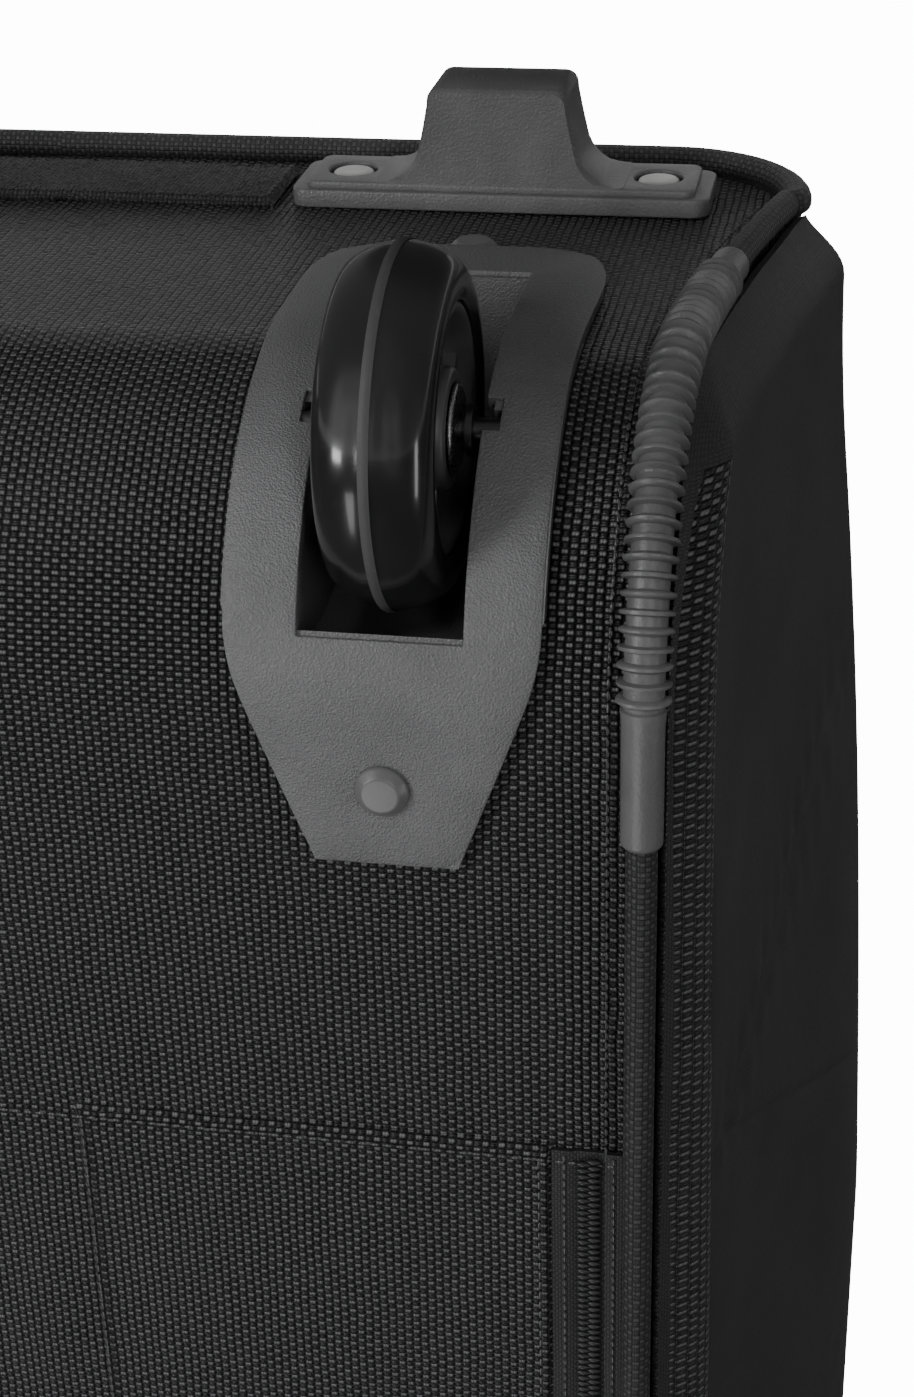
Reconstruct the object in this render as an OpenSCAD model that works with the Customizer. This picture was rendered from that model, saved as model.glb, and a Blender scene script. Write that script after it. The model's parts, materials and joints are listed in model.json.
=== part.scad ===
// Softside upright suitcase on two recessed wheels and two riveted feet.
// X runs across the case, +Y points out of its back face, +Z is up.
// The wheels and feet stand on z = 0.

/* [Case] */
// Width of the back and bottom, between the side edges
case_w = 360; // [340:5:400]
// Depth from the back face to the front of the bottom panel
case_d = 192; // [186:2:210]
// Height from the bottom panel to the top panel
case_h = 600; // [540:10:680]
// Thickness of fabric, foam and board together
wall = 4; // [3:0.5:5]
// Radius of the bend between the back and the bottom
bend_r = 62; // [58:1:66]
// Radius of the rounded corners
corner_r = 36; // [30:1:40]
// How far the packed side panels swell outwards
swell = 32; // [20:1:38]
// Depth of the opening front, from its face to the main zip
lid_depth = 37; // [37:1:48]
// Height of the fixed front strip under the lid
sill_h = 150; // [130:2:170]

/* [Wheels] */
// Wheel diameter
wheel_d = 77; // [73:1:80]
// Tyre width
wheel_w = 25; // [22:1:28]
// Axle distance in from the back face
wheel_in = 29; // [27:1:31]
// Wheel centre plane to the side panel's face
wheel_inset = 56; // [52:1:60]
// Axle diameter
axle_d = 5; // [4.5:0.5:6]
// Free space between the tyre and its well
well_gap = 6; // [5:0.5:7]
// Width of the wheel opening
well_w = 38; // [36:1:42]
// Distance from the back face to the front end of the wheel opening
well_reach = 91; // [86:1:96]
// Thickness of the housing's face plate
plate_t = 3; // [2:0.5:4]
// Width of the face plate
plate_w = 67; // [64:1:76]
// Height of the face plate's upper end above the bottom panel
plate_top = 95; // [90:1:100]
// Width of the face plate's upper end
plate_tip_w = 31; // [26:1:36]

/* [Feet] */
// Height of the bottom panel above the ground
foot_h = 30; // [28:1:32]
// Width of a foot's base
foot_w = 104; // [90:2:110]
// Depth of a foot's base
foot_d = 27; // [24:1:32]
// Width of a foot's raised block at the ground
block_w = 34; // [28:1:40]
// Distance from the back face to the foot's near edge
foot_in = 148; // [144:1:152]
// Spacing of a foot's two rivets
foot_pitch = 77; // [72:1:80]

/* [Piping and guards] */
// Radius of the covered piping
pipe_r = 3.4; // [3:0.1:4]
// Outer radius of the corner guard's sleeve
guard_r = 4.6; // [4.4:0.1:5]
// Outer radius of the guard's ribs
rib_r = 5.9; // [5.4:0.1:6.4]
// Number of ribs on a guard
rib_count = 26; // [20:1:28]
// Length of the guard's plain upper end
guard_tail = 24; // [20:1:32]
// Length of the corner guard under the case, from the bend to its front end
guard_lead = 46; // [40:1:52]

/* [Pull handle] */
// Distance between the two pull tubes
tube_pitch = 140; // [120:2:150]
// Outer radius of the fixed tubes
tube_r = 9; // [8:0.5:10]
// Wall of every tube
tube_wall = 1; // [0.8:0.1:1.2]
// Gap between nested tubes
tube_gap = 0.4; // [0.3:0.1:0.5]
// Length of the fixed tubes below the tray
tube_len = 430; // [380:10:440]
// Width of the grip
grip_w = 172; // [160:2:184]
// Depth of the grip
grip_d = 27; // [25:1:30]
// Height of the grip
grip_h = 27; // [25:1:30]

/* [Front pockets] */
// Thickness of the large front pocket
pocket_t = 40; // [30:2:50]
// Height of the large front pocket
pocket_h = 230; // [190:10:240]
// Thickness of the small front pocket
slim_t = 24; // [18:2:30]
// Height of the small front pocket
slim_h = 120; // [100:5:140]

/* [Carry handles] */
// Distance between the carry handle's legs
strap_span = 150; // [130:5:170]
// Width of the carry handle's strap
strap_w = 32; // [28:1:38]
// How far a carry handle lifts
strap_lift = 8; // [6:1:10]
// Extra height of the top handle's middle
top_arch = 17; // [10:1:24]
// Extra height of the side handle's middle
side_arch = 6; // [2:1:8]

/* [Hidden] */
$fn = 48;

fit_gap = 0.3;          // clearance between parts that don't touch
touch = 0.02;           // hair's breadth that keeps neighbours from sharing material
wheel_r = wheel_d / 2;
bottom_z = foot_h;
top_z = bottom_z + case_h;
rear_proud = wheel_r - wheel_in;
slider_t = 2 + fit_gap + 3.8;
back_y = (case_d + pocket_t + slider_t - rear_proud) / 2;
front_y = back_y - case_d;
zip_y = front_y + lid_depth;
side_x = case_w / 2;
wheel_x = side_x - wheel_inset;
axle_y = back_y - wheel_in;
axle_z = wheel_r;
bend_y = back_y - bend_r;
bend_z = bottom_z + bend_r;
hinge_z = bottom_z + sill_h;
hinge_y = front_y + wall / 2;
welt_r = 1.7;
lid_gap = 3.5;
seam_gap = 1;
zip_t = 1.2;
bead = 1.9;
tape_w = 11;
tail_len = 40;
strap_t = 3.5;
cap_h = 5;
tray_w = grip_w + 22;
tray_d = grip_d + 12;
tray_h = grip_h + 11;
tray_y = back_y - 8 - tray_d / 2;
tray_floor = top_z + 2 - tray_h;
far = 900;
arc_steps = 10;

// Helpers: outlines drawn in a plane and pushed through along X or Y.
module along_x(w, x = 0) {
    translate([x, 0, 0]) rotate([90, 0, 90]) linear_extrude(w, center = true) children();
}
module along_y(d, y = 0) {
    translate([0, y, 0]) rotate([90, 0, 0]) linear_extrude(d, center = true) children();
}
module box(low, high) {
    translate(low) cube(high - low);
}
module rod_x(r, len, at = [0, 0, 0]) {
    translate(at) rotate([0, 90, 0]) cylinder(r = r, h = len, center = true);
}
module rod_y(r, len, at = [0, 0, 0]) {
    translate(at) rotate([90, 0, 0]) cylinder(r = r, h = len, center = true);
}
module both_sides() {
    children();
    mirror([1, 0, 0]) children();
}
function arc(c, r, from, to, steps = arc_steps) =
    [for (i = [0:steps]) let (a = from + (to - from) * i / steps) c + r * [cos(a), sin(a)]];

// Side view of the case, drawn in from its outer face by t. Open at the top and front.
function side_line(t) = concat(
    [[back_y - t, top_z + 1]],
    arc([bend_y, bend_z], bend_r - t, 0, -90, 16),
    [[front_y - 1, bottom_z + t]]
);
module inside_side(t) {
    polygon(concat(side_line(t), [[front_y - 1, top_z + 1]]));
}
// Back view with rounded top corners.
module back_outline(t) {
    r = corner_r - t;
    c = [side_x - corner_r, top_z - corner_r];
    polygon(concat(
        [[side_x - t, bottom_z - 1]], arc(c, r, 0, 90),
        arc([-c[0], c[1]], r, 90, 180), [[-side_x + t, bottom_z - 1]]
    ));
}
// Plan with rounded front corners.
module plan_outline(t) {
    r = corner_r - t;
    c = [side_x - corner_r, front_y + corner_r];
    polygon(concat(
        [[-side_x + t, back_y + 1]], arc([-c[0], c[1]], r, 180, 270),
        arc(c, r, 270, 360), [[side_x - t, back_y + 1]]
    ));
}

// ---- Case panels ----
module well_profile(grow = 0) {
    translate([axle_y, axle_z]) circle(wheel_r + well_gap + grow, $fn = 64);
    translate([back_y - well_reach - grow, bottom_z - 12])
        square([well_reach - wheel_in + grow, 12 + 34 + grow]);
}
module well_holes(grow) {
    for (s = [-1, 1]) along_x(well_w + 2 * grow, s * wheel_x) well_profile(grow);
}
module tray_hole(grow) {
    box([-tray_w / 2 - grow, tray_y - tray_d / 2 - grow, top_z - wall - 1],
        [tray_w / 2 + grow, tray_y + tray_d / 2 + grow, top_z + 1]);
}
module back_bottom_panel() {
    color("#1c1c1d") difference() {
        intersection() {
            along_x(case_w) difference() {
                inside_side(0);
                inside_side(wall);
            }
            along_y(far) back_outline(0);
            translate([0, 0, -1]) linear_extrude(far) plan_outline(0);
        }
        well_holes(well_wall + touch);
        for (s = [-1, 1]) rod_x(axle_d / 2 + axle_room, 2 * notch_reach + 1, [s * wheel_x, axle_y, axle_z]);
        for (s = [-1, 1]) for (p = panel_rivets) rivet_hole(s * wheel_x, p, 2.3);
        for (s = [-1, 1]) for (k = [-1, 1])
            translate([s * wheel_x + k * foot_pitch / 2, foot_y, bottom_z - 1])
                cylinder(r = 2.3, h = wall + 2);
    }
}
module gusset() {
    intersection() {
        along_y(back_y - wall - zip_y - seam_gap - touch, (back_y - wall - touch + zip_y + seam_gap) / 2)
            difference() {
                back_outline(0);
                back_outline(wall);
            }
        along_x(case_w) inside_side(wall + touch);
    }
}
// The side panels swell from their edges to a flat middle. The one with the handle is held in more.
handle_hold = cap_h + side_arch + 1;
function side_swell(s) = s < 0 ? swell - handle_hold : swell;
function rise(d, run) = sin(90 * max(0, min(1, d / run)));
function swell_z(z) = pow(rise(z - bottom_z, 170), 0.6) * rise(top_z - corner_r - z, 130);
function swell_y(y) = rise(back_y - wall - y, 52) * rise(y - zip_y - tape_w, 40);
module swollen(b, t) {
    z_run = case_h - corner_r;
    y_run = back_y - wall - zip_y - tape_w;
    intersection() {
        along_y(far) polygon(concat(
            [for (i = [0:24]) let (z = bottom_z + z_run * i / 24) [side_x - t + b * swell_z(z), z]],
            arc([side_x - corner_r, top_z - corner_r], corner_r - t, 4, 90, 9), [[0, top_z - t], [0, bottom_z]]));
        linear_extrude(far) polygon(concat([[0, back_y], [0, zip_y], [side_x - t, zip_y]],
            [for (i = [0:18]) let (y = zip_y + tape_w + y_run * i / 18) [side_x - t + b * swell_y(y), y]],
            [[side_x - t, back_y]]));
    }
}
module side_panel(s) {
    b = side_swell(s);
    color("#242425") difference() {
        mirror([s < 0 ? 1 : 0, 0, 0]) intersection() {
            difference() {
                swollen(b, 0);
                swollen(b, wall);
            }
            along_x(far) inside_side(wall + touch);
            box([side_x - corner_r, zip_y + seam_gap + touch, 0], [far, back_y - wall - touch, far]);
        }
        if (s < 0) side_strap() strap_slots(0);
    }
}
module top_panel() {
    color("#1c1c1d") difference() {
        intersection() {
            gusset();
            box([corner_r - side_x + touch, -far, top_z - 20], [side_x - corner_r - touch, far, far]);
        }
        tray_hole(touch);
        top_strap() strap_slots(0);
    }
}
module front_sill() {
    color("#242425") intersection() {
        translate([0, 0, bottom_z + wall + touch])
            linear_extrude(sill_h - wall - welt_r - fit_gap - touch) difference() {
                plan_outline(0);
                plan_outline(wall);
            }
        box([-far, -far, 0], [far, zip_y + seam_gap - touch, far]);
    }
}

// ---- Piping along the panel's edge, made of straight runs and quarter rings ----
pipe_off = 2.6;
module ring_part(r_big, r_small, angle) {
    rotate_extrude(angle = angle) translate([r_big, 0]) circle(r_small, $fn = 32);
}
module edge_path(r) {
    x = side_x + pipe_off;
    cx = side_x - corner_r;
    big = corner_r + pipe_off;
    translate([cx, back_y + pipe_off, top_z - corner_r]) rotate([90, 0, 0])
        ring_part(big, r, 90);
    translate([x, back_y + pipe_off, bend_z]) cylinder(r = r, h = top_z - corner_r - bend_z, $fn = 32);
    translate([x, bend_y, bend_z]) rotate([90, 90, 90])
        ring_part(bend_r + pipe_off, r, 90);
    rod_y(r, bend_y - front_y - corner_r, [x, (bend_y + front_y + corner_r) / 2, bottom_z - pipe_off], $fn = 32);
    translate([cx, front_y + corner_r, bottom_z - pipe_off]) rotate([0, 0, -90])
        ring_part(big, r, 90);
}
module edge_piping() {
    cx = side_x - corner_r;
    color("#222223") {
        both_sides() edge_path(pipe_r);
        rod_x(pipe_r, 2 * cx, [0, back_y + pipe_off, top_z + pipe_off], $fn = 32);
        rod_x(pipe_r, 2 * cx, [0, front_y - pipe_off, bottom_z - pipe_off], $fn = 32);
    }
}
// A sleeve's section: a ring left open where it sits over the panel's edge.
function c_section(r_out, r_in) =
    let (o = pipe_off - touch, a0 = acos(o / r_out) - 180, a1 = 180 + asin(o / r_out),
         b0 = acos(o / guard_r) - 180, b1 = 180 + asin(o / guard_r))
    concat(arc([0, 0], r_out, a0, a1, 20), arc([0, 0], r_in, b1, b0, 16));
module guard_bend(r_out, r_in, turn, angle) {
    translate([side_x + pipe_off, bend_y, bend_z]) rotate([90, 90, 90]) rotate([0, 0, turn])
        rotate_extrude(angle = angle, $fn = 120) translate([bend_r + pipe_off, 0])
            polygon(c_section(r_out, r_in));
}
module guard_run(len, r_out, r_in) {
    linear_extrude(len) polygon(c_section(r_out, r_in));
}
module corner_guard() {
    x = side_x + pipe_off;
    r_in = pipe_r + 0.1;
    rib_t = 1.6;
    bend_ribs = round(rib_count * 0.7);
    rib_pitch = (bend_r + pipe_off) * PI / 2 / bend_ribs;
    color("#3a3a3b") {
        translate([x, back_y + pipe_off, bend_z]) guard_run(guard_tail, guard_r, r_in);
        guard_bend(guard_r, r_in, 0, 90);
        translate([x, bend_y, bottom_z - pipe_off]) rotate([90, 0, 0]) mirror([0, 1, 0])
            guard_run(guard_lead, guard_r, r_in);
        for (i = [0:bend_ribs - 1])
            guard_bend(rib_r, guard_r - 0.5, 90 * (i + 0.35) / bend_ribs, 1.5);
        for (i = [0:rib_count - bend_ribs - 1])
            translate([x, bend_y - 1.5 - i * rib_pitch, bottom_z - pipe_off]) rotate([90, 0, 0]) mirror([0, 1, 0])
                guard_run(rib_t, rib_r, guard_r - 0.5);
    }
}

// ---- Inner frame ----
board_t = 2;
module back_board() {
    y = back_y - wall - board_t - touch;
    color("#2b2b2b") box([-side_x + 34, y, bottom_z + plate_top + 8],
                         [side_x - 34, y + board_t, top_z - tray_h - 12]);
}
rod_r = 2.5;
liner_gap = 8;
module frame_rods() {
    x = side_x - wall - rod_r - fit_gap;
    z_top = top_z - wall - rod_r - fit_gap;
    z_low = bottom_z + wall + rod_r + fit_gap;
    r = corner_r - wall - rod_r - fit_gap;
    color("#c9b78a") for (y = [zip_y + 12, tray_y - tray_d / 2 - 5]) both_sides() {
        translate([x, y, z_low]) cylinder(r = rod_r, h = z_top - r - z_low, $fn = 24);
        translate([x - r, y, z_top - r]) rotate([90, 0, 0]) ring_part(r, rod_r, 90);
        rod_x(rod_r, x - r, [(x - r) / 2, y, z_top], $fn = 24);
    }
}
liner_t = 1.5;
liner_back = tray_y - 16;
function liner_side(t) = [
    [liner_back - t, top_z - wall - liner_gap - 26 - t],
    [liner_back - t, bottom_z + 74 + t * 0.4],
    [back_y - well_reach - 8 - t, bottom_z + 48 + t * 0.4],
    [back_y - well_reach - 8 - t, bottom_z + wall + liner_gap + t],
    [zip_y + 4, bottom_z + wall + liner_gap + t],
    [zip_y + 4, top_z - wall - liner_gap - 26 - t]
];
module lining() {
    w = case_w - 2 * (wall + liner_gap);
    color("#55565a") difference() {
        along_x(w) polygon(liner_side(0));
        along_x(w - 2 * liner_t) translate([-touch, 0])
            polygon(concat([for (i = [0:3]) liner_side(liner_t)[i]],
                [for (i = [4:5]) liner_side(liner_t)[i] - [5, 0]]));
    }
}
module tie_straps() {
    y = liner_back - liner_t - 1.6;
    z = bottom_z + case_h * 0.5;
    color("#3d3e42") {
        both_sides() box([22, y, z - 12], [side_x - 40, y + 1.4, z + 12]);
        box([-21, y - 5, z - 15], [21, y + 1.4, z + 15]);
    }
}

// ---- Wheel housings, wheels and axles ----
well_wall = 2.5;
axle_room = 1.2;         // clearance round an axle where it passes the back panel
notch_h = axle_d + 2.4;
notch_reach = well_w / 2 + 4.5;
plate_bottom = back_y - well_reach - 14;
panel_rivets = [plate_top - 18, -(well_reach + 34)];
// A rivet place is a height up the back when positive, a distance in from the back when negative.
module rivet_hole(x, p, r) {
    if (p > 0) rod_y(r, 20, [x, back_y, bottom_z + p]);
    else translate([x, back_y + p, bottom_z - 10]) cylinder(r = r, h = 20);
}
module plate_band(t0, t1) {
    inner = side_line(-t0);
    polygon(concat(side_line(-t1), [for (i = [len(inner) - 1:-1:0]) inner[i]]));
}
module plate_face() {
    taper_z = bottom_z + 38;
    top = bottom_z + plate_top;
    h = plate_w / 2;
    polygon([[-h + 4, -1], [h - 4, -1], [h, taper_z - 40], [h, taper_z],
             [h - 4, taper_z + 14], [plate_tip_w / 2, top], [-plate_tip_w / 2, top],
             [-h + 4, taper_z + 14], [-h, taper_z], [-h, taper_z - 40]]);
}
module plate_foot() {
    h = plate_w / 2;
    polygon([[-h, far], [-h, plate_bottom + 12], [-h + 4, plate_bottom + 3], [-h + 12, plate_bottom],
             [h - 12, plate_bottom], [h - 4, plate_bottom + 3], [h, plate_bottom + 12], [h, far]]);
}
module wheel_housing() {
    slot_turn = atan2(bend_y - axle_y, bend_z - axle_z);
    color("#4a4a4b") translate([wheel_x, 0, 0]) difference() {
        union() {
            intersection() {
                along_x(plate_w) plate_band(touch, plate_t);
                along_y(far) plate_face();
                translate([0, 0, -50]) linear_extrude(far) plate_foot();
            }
            intersection() {
                along_x(well_w + 2 * well_wall) well_profile(well_wall);
                along_x(far) inside_side(-plate_t / 2);
                box([-far, back_y - far, bottom_z - plate_t / 2], [far, far, far]);
            }
            intersection() {
                for (s = [-1, 1]) rod_x(axle_d / 2 + 4, 7, [s * (well_w / 2 + 4), axle_y, axle_z]);
                along_x(far) inside_side(wall + touch);
            }
        }
        along_x(well_w) well_profile();
        translate([0, axle_y, axle_z]) rotate([-slot_turn, 0, 0])
            along_x(2 * notch_reach) polygon(concat(arc([0, 0], notch_h / 2, 0, 180, 12),
                [[-notch_h / 2, -20], [notch_h / 2, -20]]));
        rivet_hole(0, panel_rivets[0], 2.3);
    }
}
module rivet(head_r = 5.6, head_t = 2.4, len = 9) {
    cylinder(r1 = head_r * 0.68, r2 = head_r, h = head_t);
    translate([0, 0, head_t]) cylinder(r = 2.2, h = len);
    translate([0, 0, head_t + len]) cylinder(r = 4, h = 1);
}
module housing_rivets() {
    color("#454546") both_sides() translate([wheel_x, 0, bottom_z]) {
        translate([0, back_y + plate_t + touch + 2.4, panel_rivets[0]]) rotate([90, 0, 0])
            rivet(len = plate_t + wall + 2 * touch);
        translate([0, back_y + panel_rivets[1], -2.4 - touch])
            rivet(len = wall + 2 * touch);
    }
}
module wheel_axles() {
    color("#8d8d8f") both_sides() {
        rod_x(axle_d / 2, 2 * notch_reach - 1, [wheel_x, axle_y, axle_z]);
        for (s = [-1, 1]) rod_x(axle_d / 2 + 3, 1.4, [wheel_x + s * (wheel_w / 2 + 2.2), axle_y, axle_z]);
    }
}
hub_r = 26;
bearing_r = 9.5;
bearing_w = 6;
module turned(points) {
    rotate([0, 90, 0]) rotate_extrude($fn = 96) polygon(points);
}
module tyre() {
    h = wheel_w / 2;
    half = [for (i = [0:8]) let (a = 90 - i * 78 / 8)
        [hub_r + 2 + (wheel_r - hub_r - 2) * pow(sin(a), 0.8), h * cos(a)]];
    color("#1f1f20") translate([wheel_x, axle_y, axle_z])
        turned(concat([[hub_r + touch, -h + 2.5], [hub_r + touch, h - 2.5]],
            [for (i = [8:-1:0]) half[i]], [for (i = [1:8]) [half[i][0], -half[i][1]]]));
}
spokes = 6;
module hub() {
    h = wheel_w / 2 - 2.5;
    color("#2c2c2d") translate([wheel_x, axle_y, axle_z]) {
        difference() {
            union() {
                turned([[hub_r - 4, -h], [hub_r, -h], [hub_r, h], [hub_r - 4, h]]);
                turned([[bearing_r + touch, -h], [bearing_r + 3, -h], [bearing_r + 3, h], [bearing_r + touch, h]]);
                turned([[bearing_r - 2.5, -2], [bearing_r + 1, -2], [bearing_r + 1, 2], [bearing_r - 2.5, 2]]);
                for (i = [0:spokes - 1]) rotate([i * 360 / spokes, 0, 0]) for (k = [-1, 1])
                    box([-h + 2, k * 2.6 - 0.9, bearing_r + 2], [h - 2, k * 2.6 + 0.9, hub_r - 3]);
            }
        }
    }
}
module bearings() {
    color("#b9b9bc") translate([wheel_x, axle_y, axle_z]) {
        for (s = [-1, 1]) difference() {
            rod_x(bearing_r, bearing_w, [s * (2 + bearing_w / 2 + touch), 0, 0]);
            rod_x(axle_d / 2 + 0.05, far, [0, 0, 0]);
        }
        difference() {
            rod_x(axle_d / 2 + 1.2, 3.9, [0, 0, 0]);
            rod_x(axle_d / 2 + 0.1, far, [0, 0, 0]);
        }
    }
}

// ---- Feet ----
foot_y = back_y - foot_in - foot_d / 2;
base_t = 4.5;
step_t = 2;
module foot_base(grow, chamfer) {
    w = foot_w / 2 + grow;
    d = foot_d / 2 + grow;
    polygon([[-w + chamfer, -d], [w - chamfer, -d], [w, -d + chamfer], [w, d - chamfer],
             [w - chamfer, d], [-w + chamfer, d], [-w, d - chamfer], [-w, -d + chamfer]]);
}
function foot_profile() = let (h = block_w / 2, z0 = -base_t + 0.5, z1 = -foot_h, r = 11) concat(
    [[-foot_w / 2 + 3.5, z0], [-foot_w / 2 + 3.5, -base_t - step_t]],
    arc([-h - 5 - r, -base_t - step_t - r], r, 90, 14, 6),
    arc([-h + 3, z1 + 3], 3, 180, 270, 4), arc([h - 3, z1 + 3], 3, 270, 360, 4),
    arc([h + 5 + r, -base_t - step_t - r], r, 166, 90, 6),
    [[foot_w / 2 - 3.5, -base_t - step_t], [foot_w / 2 - 3.5, z0]]
);
module foot() {
    color("#3f3f40") translate([wheel_x, foot_y, bottom_z - touch]) difference() {
        union() {
            translate([0, 0, -base_t]) linear_extrude(base_t) foot_base(0, 5);
            translate([0, 0, touch]) along_y(foot_d - 5) polygon(foot_profile());
        }
        for (k = [-1, 1]) translate([k * foot_pitch / 2, 0, 0]) {
            translate([0, 0, -20]) cylinder(r = 2.4, h = 21);
            translate([0, 0, -20]) cylinder(r = 6.4, h = 20 - base_t + 1);
        }
    }
}
module foot_rivets() {
    color("#a8a8aa") both_sides() for (k = [-1, 1])
        translate([wheel_x + k * foot_pitch / 2, foot_y, bottom_z - base_t - 1.7])
            rivet(4.9, 2.6, base_t - 1 + wall + 2 * touch + 0.1);
}
module bottom_loop_strip() {
    w = wheel_x - foot_w / 2 - 4;
    color("#202021") box([-w, foot_y - 12, bottom_z - 2.2], [w, foot_y + 12, bottom_z - touch]);
}

// ---- Pull handle ----
mid_r = tube_r - tube_wall - tube_gap;
inner_r = mid_r - tube_wall - tube_gap;
mid_len = tube_len - 8;
tube_x = tube_pitch / 2;
outer_low = tray_floor - tube_len;
rod_bore = inner_r - tube_wall;
module tube(r, len, z) {
    both_sides() translate([tube_x, tray_y, z]) difference() {
        cylinder(r = r, h = len);
        translate([0, 0, -1]) cylinder(r = r - tube_wall, h = len + 2);
    }
}
module outer_tubes() {
    color("#9a9b9e") tube(tube_r, tube_len - touch, outer_low);
}
module handle_tray() {
    lip = 6;
    color("#1b1b1c") difference() {
        union() {
            box([-tray_w / 2, tray_y - tray_d / 2, tray_floor],
                [tray_w / 2, tray_y + tray_d / 2, top_z + 1]);
            box([-tray_w / 2 - lip, tray_y - tray_d / 2 - lip, top_z + touch],
                [tray_w / 2 + lip, tray_y + tray_d / 2 + lip, top_z + 2.2]);
        }
        box([-grip_w / 2 - 4, tray_y - grip_d / 2 - 2.5, tray_floor + 6],
            [grip_w / 2 + 4, tray_y + grip_d / 2 + 2.5, top_z + 5]);
        both_sides() translate([tube_x, tray_y, tray_floor - 1])
            cylinder(r = mid_r + tube_gap, h = 20);
        for (k = [-1, 1]) translate([k * (grip_w / 2 - 32), tray_y, tray_floor - 1]) cylinder(r = 2, h = 20);
    }
}
module tube_bracket() {
    color("#1b1b1c") both_sides() difference() {
        box([tube_x - 15, tray_y - 12, outer_low - 16],
            [tube_x + 15, back_y - wall - board_t - 4 * touch, outer_low + 22]);
        translate([tube_x, tray_y, outer_low - touch]) cylinder(r = tube_r + touch, h = 30);
        for (k = [-1, 1]) rod_y(1.6, 40, [tube_x + k * 12, tray_y, outer_low - 9]);
    }
}
module handle_screws() {
    color("#77777a") both_sides() {
        for (k = [-1, 1]) {
            rod_y(1.5, 13, [tube_x + k * 12, tray_y - 5.6, outer_low - 9]);
            rod_y(2.6, 1.6, [tube_x + k * 12, tray_y - 12.9, outer_low - 9]);
        }
        translate([grip_w / 2 - 32, tray_y, tray_floor - 6]) cylinder(r = 1.9, h = 12.1);
        translate([grip_w / 2 - 32, tray_y, tray_floor + 6.1]) cylinder(r = 3.4, h = 1.5);
    }
}
module middle_tubes() {
    color("#b4b5b8") tube(mid_r, mid_len, outer_low + 8);
}
module middle_collars() {
    color("#2a2a2b") both_sides() translate([tube_x, tray_y, outer_low + 8 + mid_len + touch])
        difference() {
            cylinder(r = mid_r, h = 4);
            translate([0, 0, -1]) cylinder(r = inner_r + 0.15, h = 6);
        }
}
grip_low = top_z + 2.2 + 4 - grip_h;
module inner_tubes() {
    color("#c9cacc") tube(inner_r, grip_low - outer_low - 16 + 6, outer_low + 16);
}
module grip_base() {
    w = grip_w / 2;
    d = grip_d / 2;
    color("#1d1d1e") translate([0, tray_y, grip_low]) difference() {
        along_x(grip_w - 2) polygon([[-d + 5, 0], [d - 5, 0], [d, 5], [d, 11], [-d, 11], [-d, 5]]);
        box([-w + 6, -6, 7], [w - 6, 6, 12]);
        both_sides() translate([tube_x, 0, -1]) cylinder(r = inner_r + touch, h = 7 + touch);
        both_sides() translate([tube_x, 0, 0]) cylinder(r = rod_bore, h = 12);
    }
}
button_w = 34;
module grip_cover() {
    w = grip_w / 2;
    d = grip_d / 2;
    color("#262627") translate([0, tray_y, grip_low + 11 + touch]) difference() {
        along_x(grip_w) polygon(concat([[-d, 0], [d, 0]],
            arc([d - 8, grip_h - 19], 8, 0, 90, 6), arc([-d + 8, grip_h - 19], 8, 90, 180, 6)));
        box([-w + 6, -6, -1], [w - 6, 6, grip_h - 11 - 4]);
        box([-button_w / 2, -5.5, 0], [button_w / 2, 5.5, grip_h]);
    }
}
module release_button() {
    color("#7d7e80") translate([0, tray_y, grip_low]) {
        box([-button_w / 2 + fit_gap, -5.2, grip_h - 4 - 4], [button_w / 2 - fit_gap, 5.2, grip_h + 3.2]);
    }
}
module release_rods() {
    z_bar = grip_h - 12;
    color("#8f9093") translate([0, tray_y, grip_low]) {
        box([-tube_x - 5, -4, z_bar], [tube_x + 5, 4, z_bar + 4 - touch]);
        both_sides() translate([tube_x, 0, -150]) cylinder(r = 2, h = 150 + z_bar - touch);
    }
}

// ---- Carry handles: a strap with two legs that slide in riveted end caps ----
module top_strap() {
    translate([0, tray_y - tray_d / 2 - 50, top_z]) children();
}
module side_strap() {
    translate([-side_x - side_swell(-1), zip_y + tape_w + (back_y - wall - zip_y - tape_w) * 0.46, bottom_z + case_h * 0.52])
        rotate([0, -90, 0]) children();
}
module strap_slots(z) {
    for (k = [-1, 1]) box([k * strap_span / 2 - strap_t / 2 - fit_gap, -strap_w / 2 - fit_gap, z - wall - 1],
        [k * strap_span / 2 + strap_t / 2 + fit_gap, strap_w / 2 + fit_gap, z + cap_h + 1]);
}
module strap(arch) {
    s = strap_span / 2 + strap_t / 2;
    shoulder = cap_h + 3;
    crown = shoulder + arch;
    along_y(strap_w) polygon([[-s, -strap_lift], [-s, shoulder - 2], [-s + 2, shoulder], [-s + 34, crown], [s - 34, crown],
        [s - 2, shoulder], [s, shoulder - 2], [s, -strap_lift], [s - strap_t, -strap_lift],
        [s - strap_t, cap_h + 0.6], [s - 35, crown - strap_t], [-s + 35, crown - strap_t],
        [-s + strap_t, cap_h + 0.6], [-s + strap_t, -strap_lift]]);
}
module strap_caps() {
    difference() {
        for (k = [-1, 1]) translate([k * strap_span / 2, 0, touch]) intersection() {
            along_x(30) polygon([[-strap_w / 2 - 7, 0], [strap_w / 2 + 7, 0],
                                 [strap_w / 2 + 4, cap_h], [-strap_w / 2 - 4, cap_h]]);
            along_y(60) polygon([[-12, 0], [12, 0], [10, cap_h], [-10, cap_h]]);
        }
        strap_slots(0);
    }
}
module top_handle() { color("#242425") top_strap() strap(top_arch); }
module top_handle_caps() { color("#2d2d2e") top_strap() strap_caps(); }
module side_handle() { color("#242425") side_strap() strap(side_arch); }
module side_handle_caps() { color("#2d2d2e") side_strap() strap_caps(); }

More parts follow.
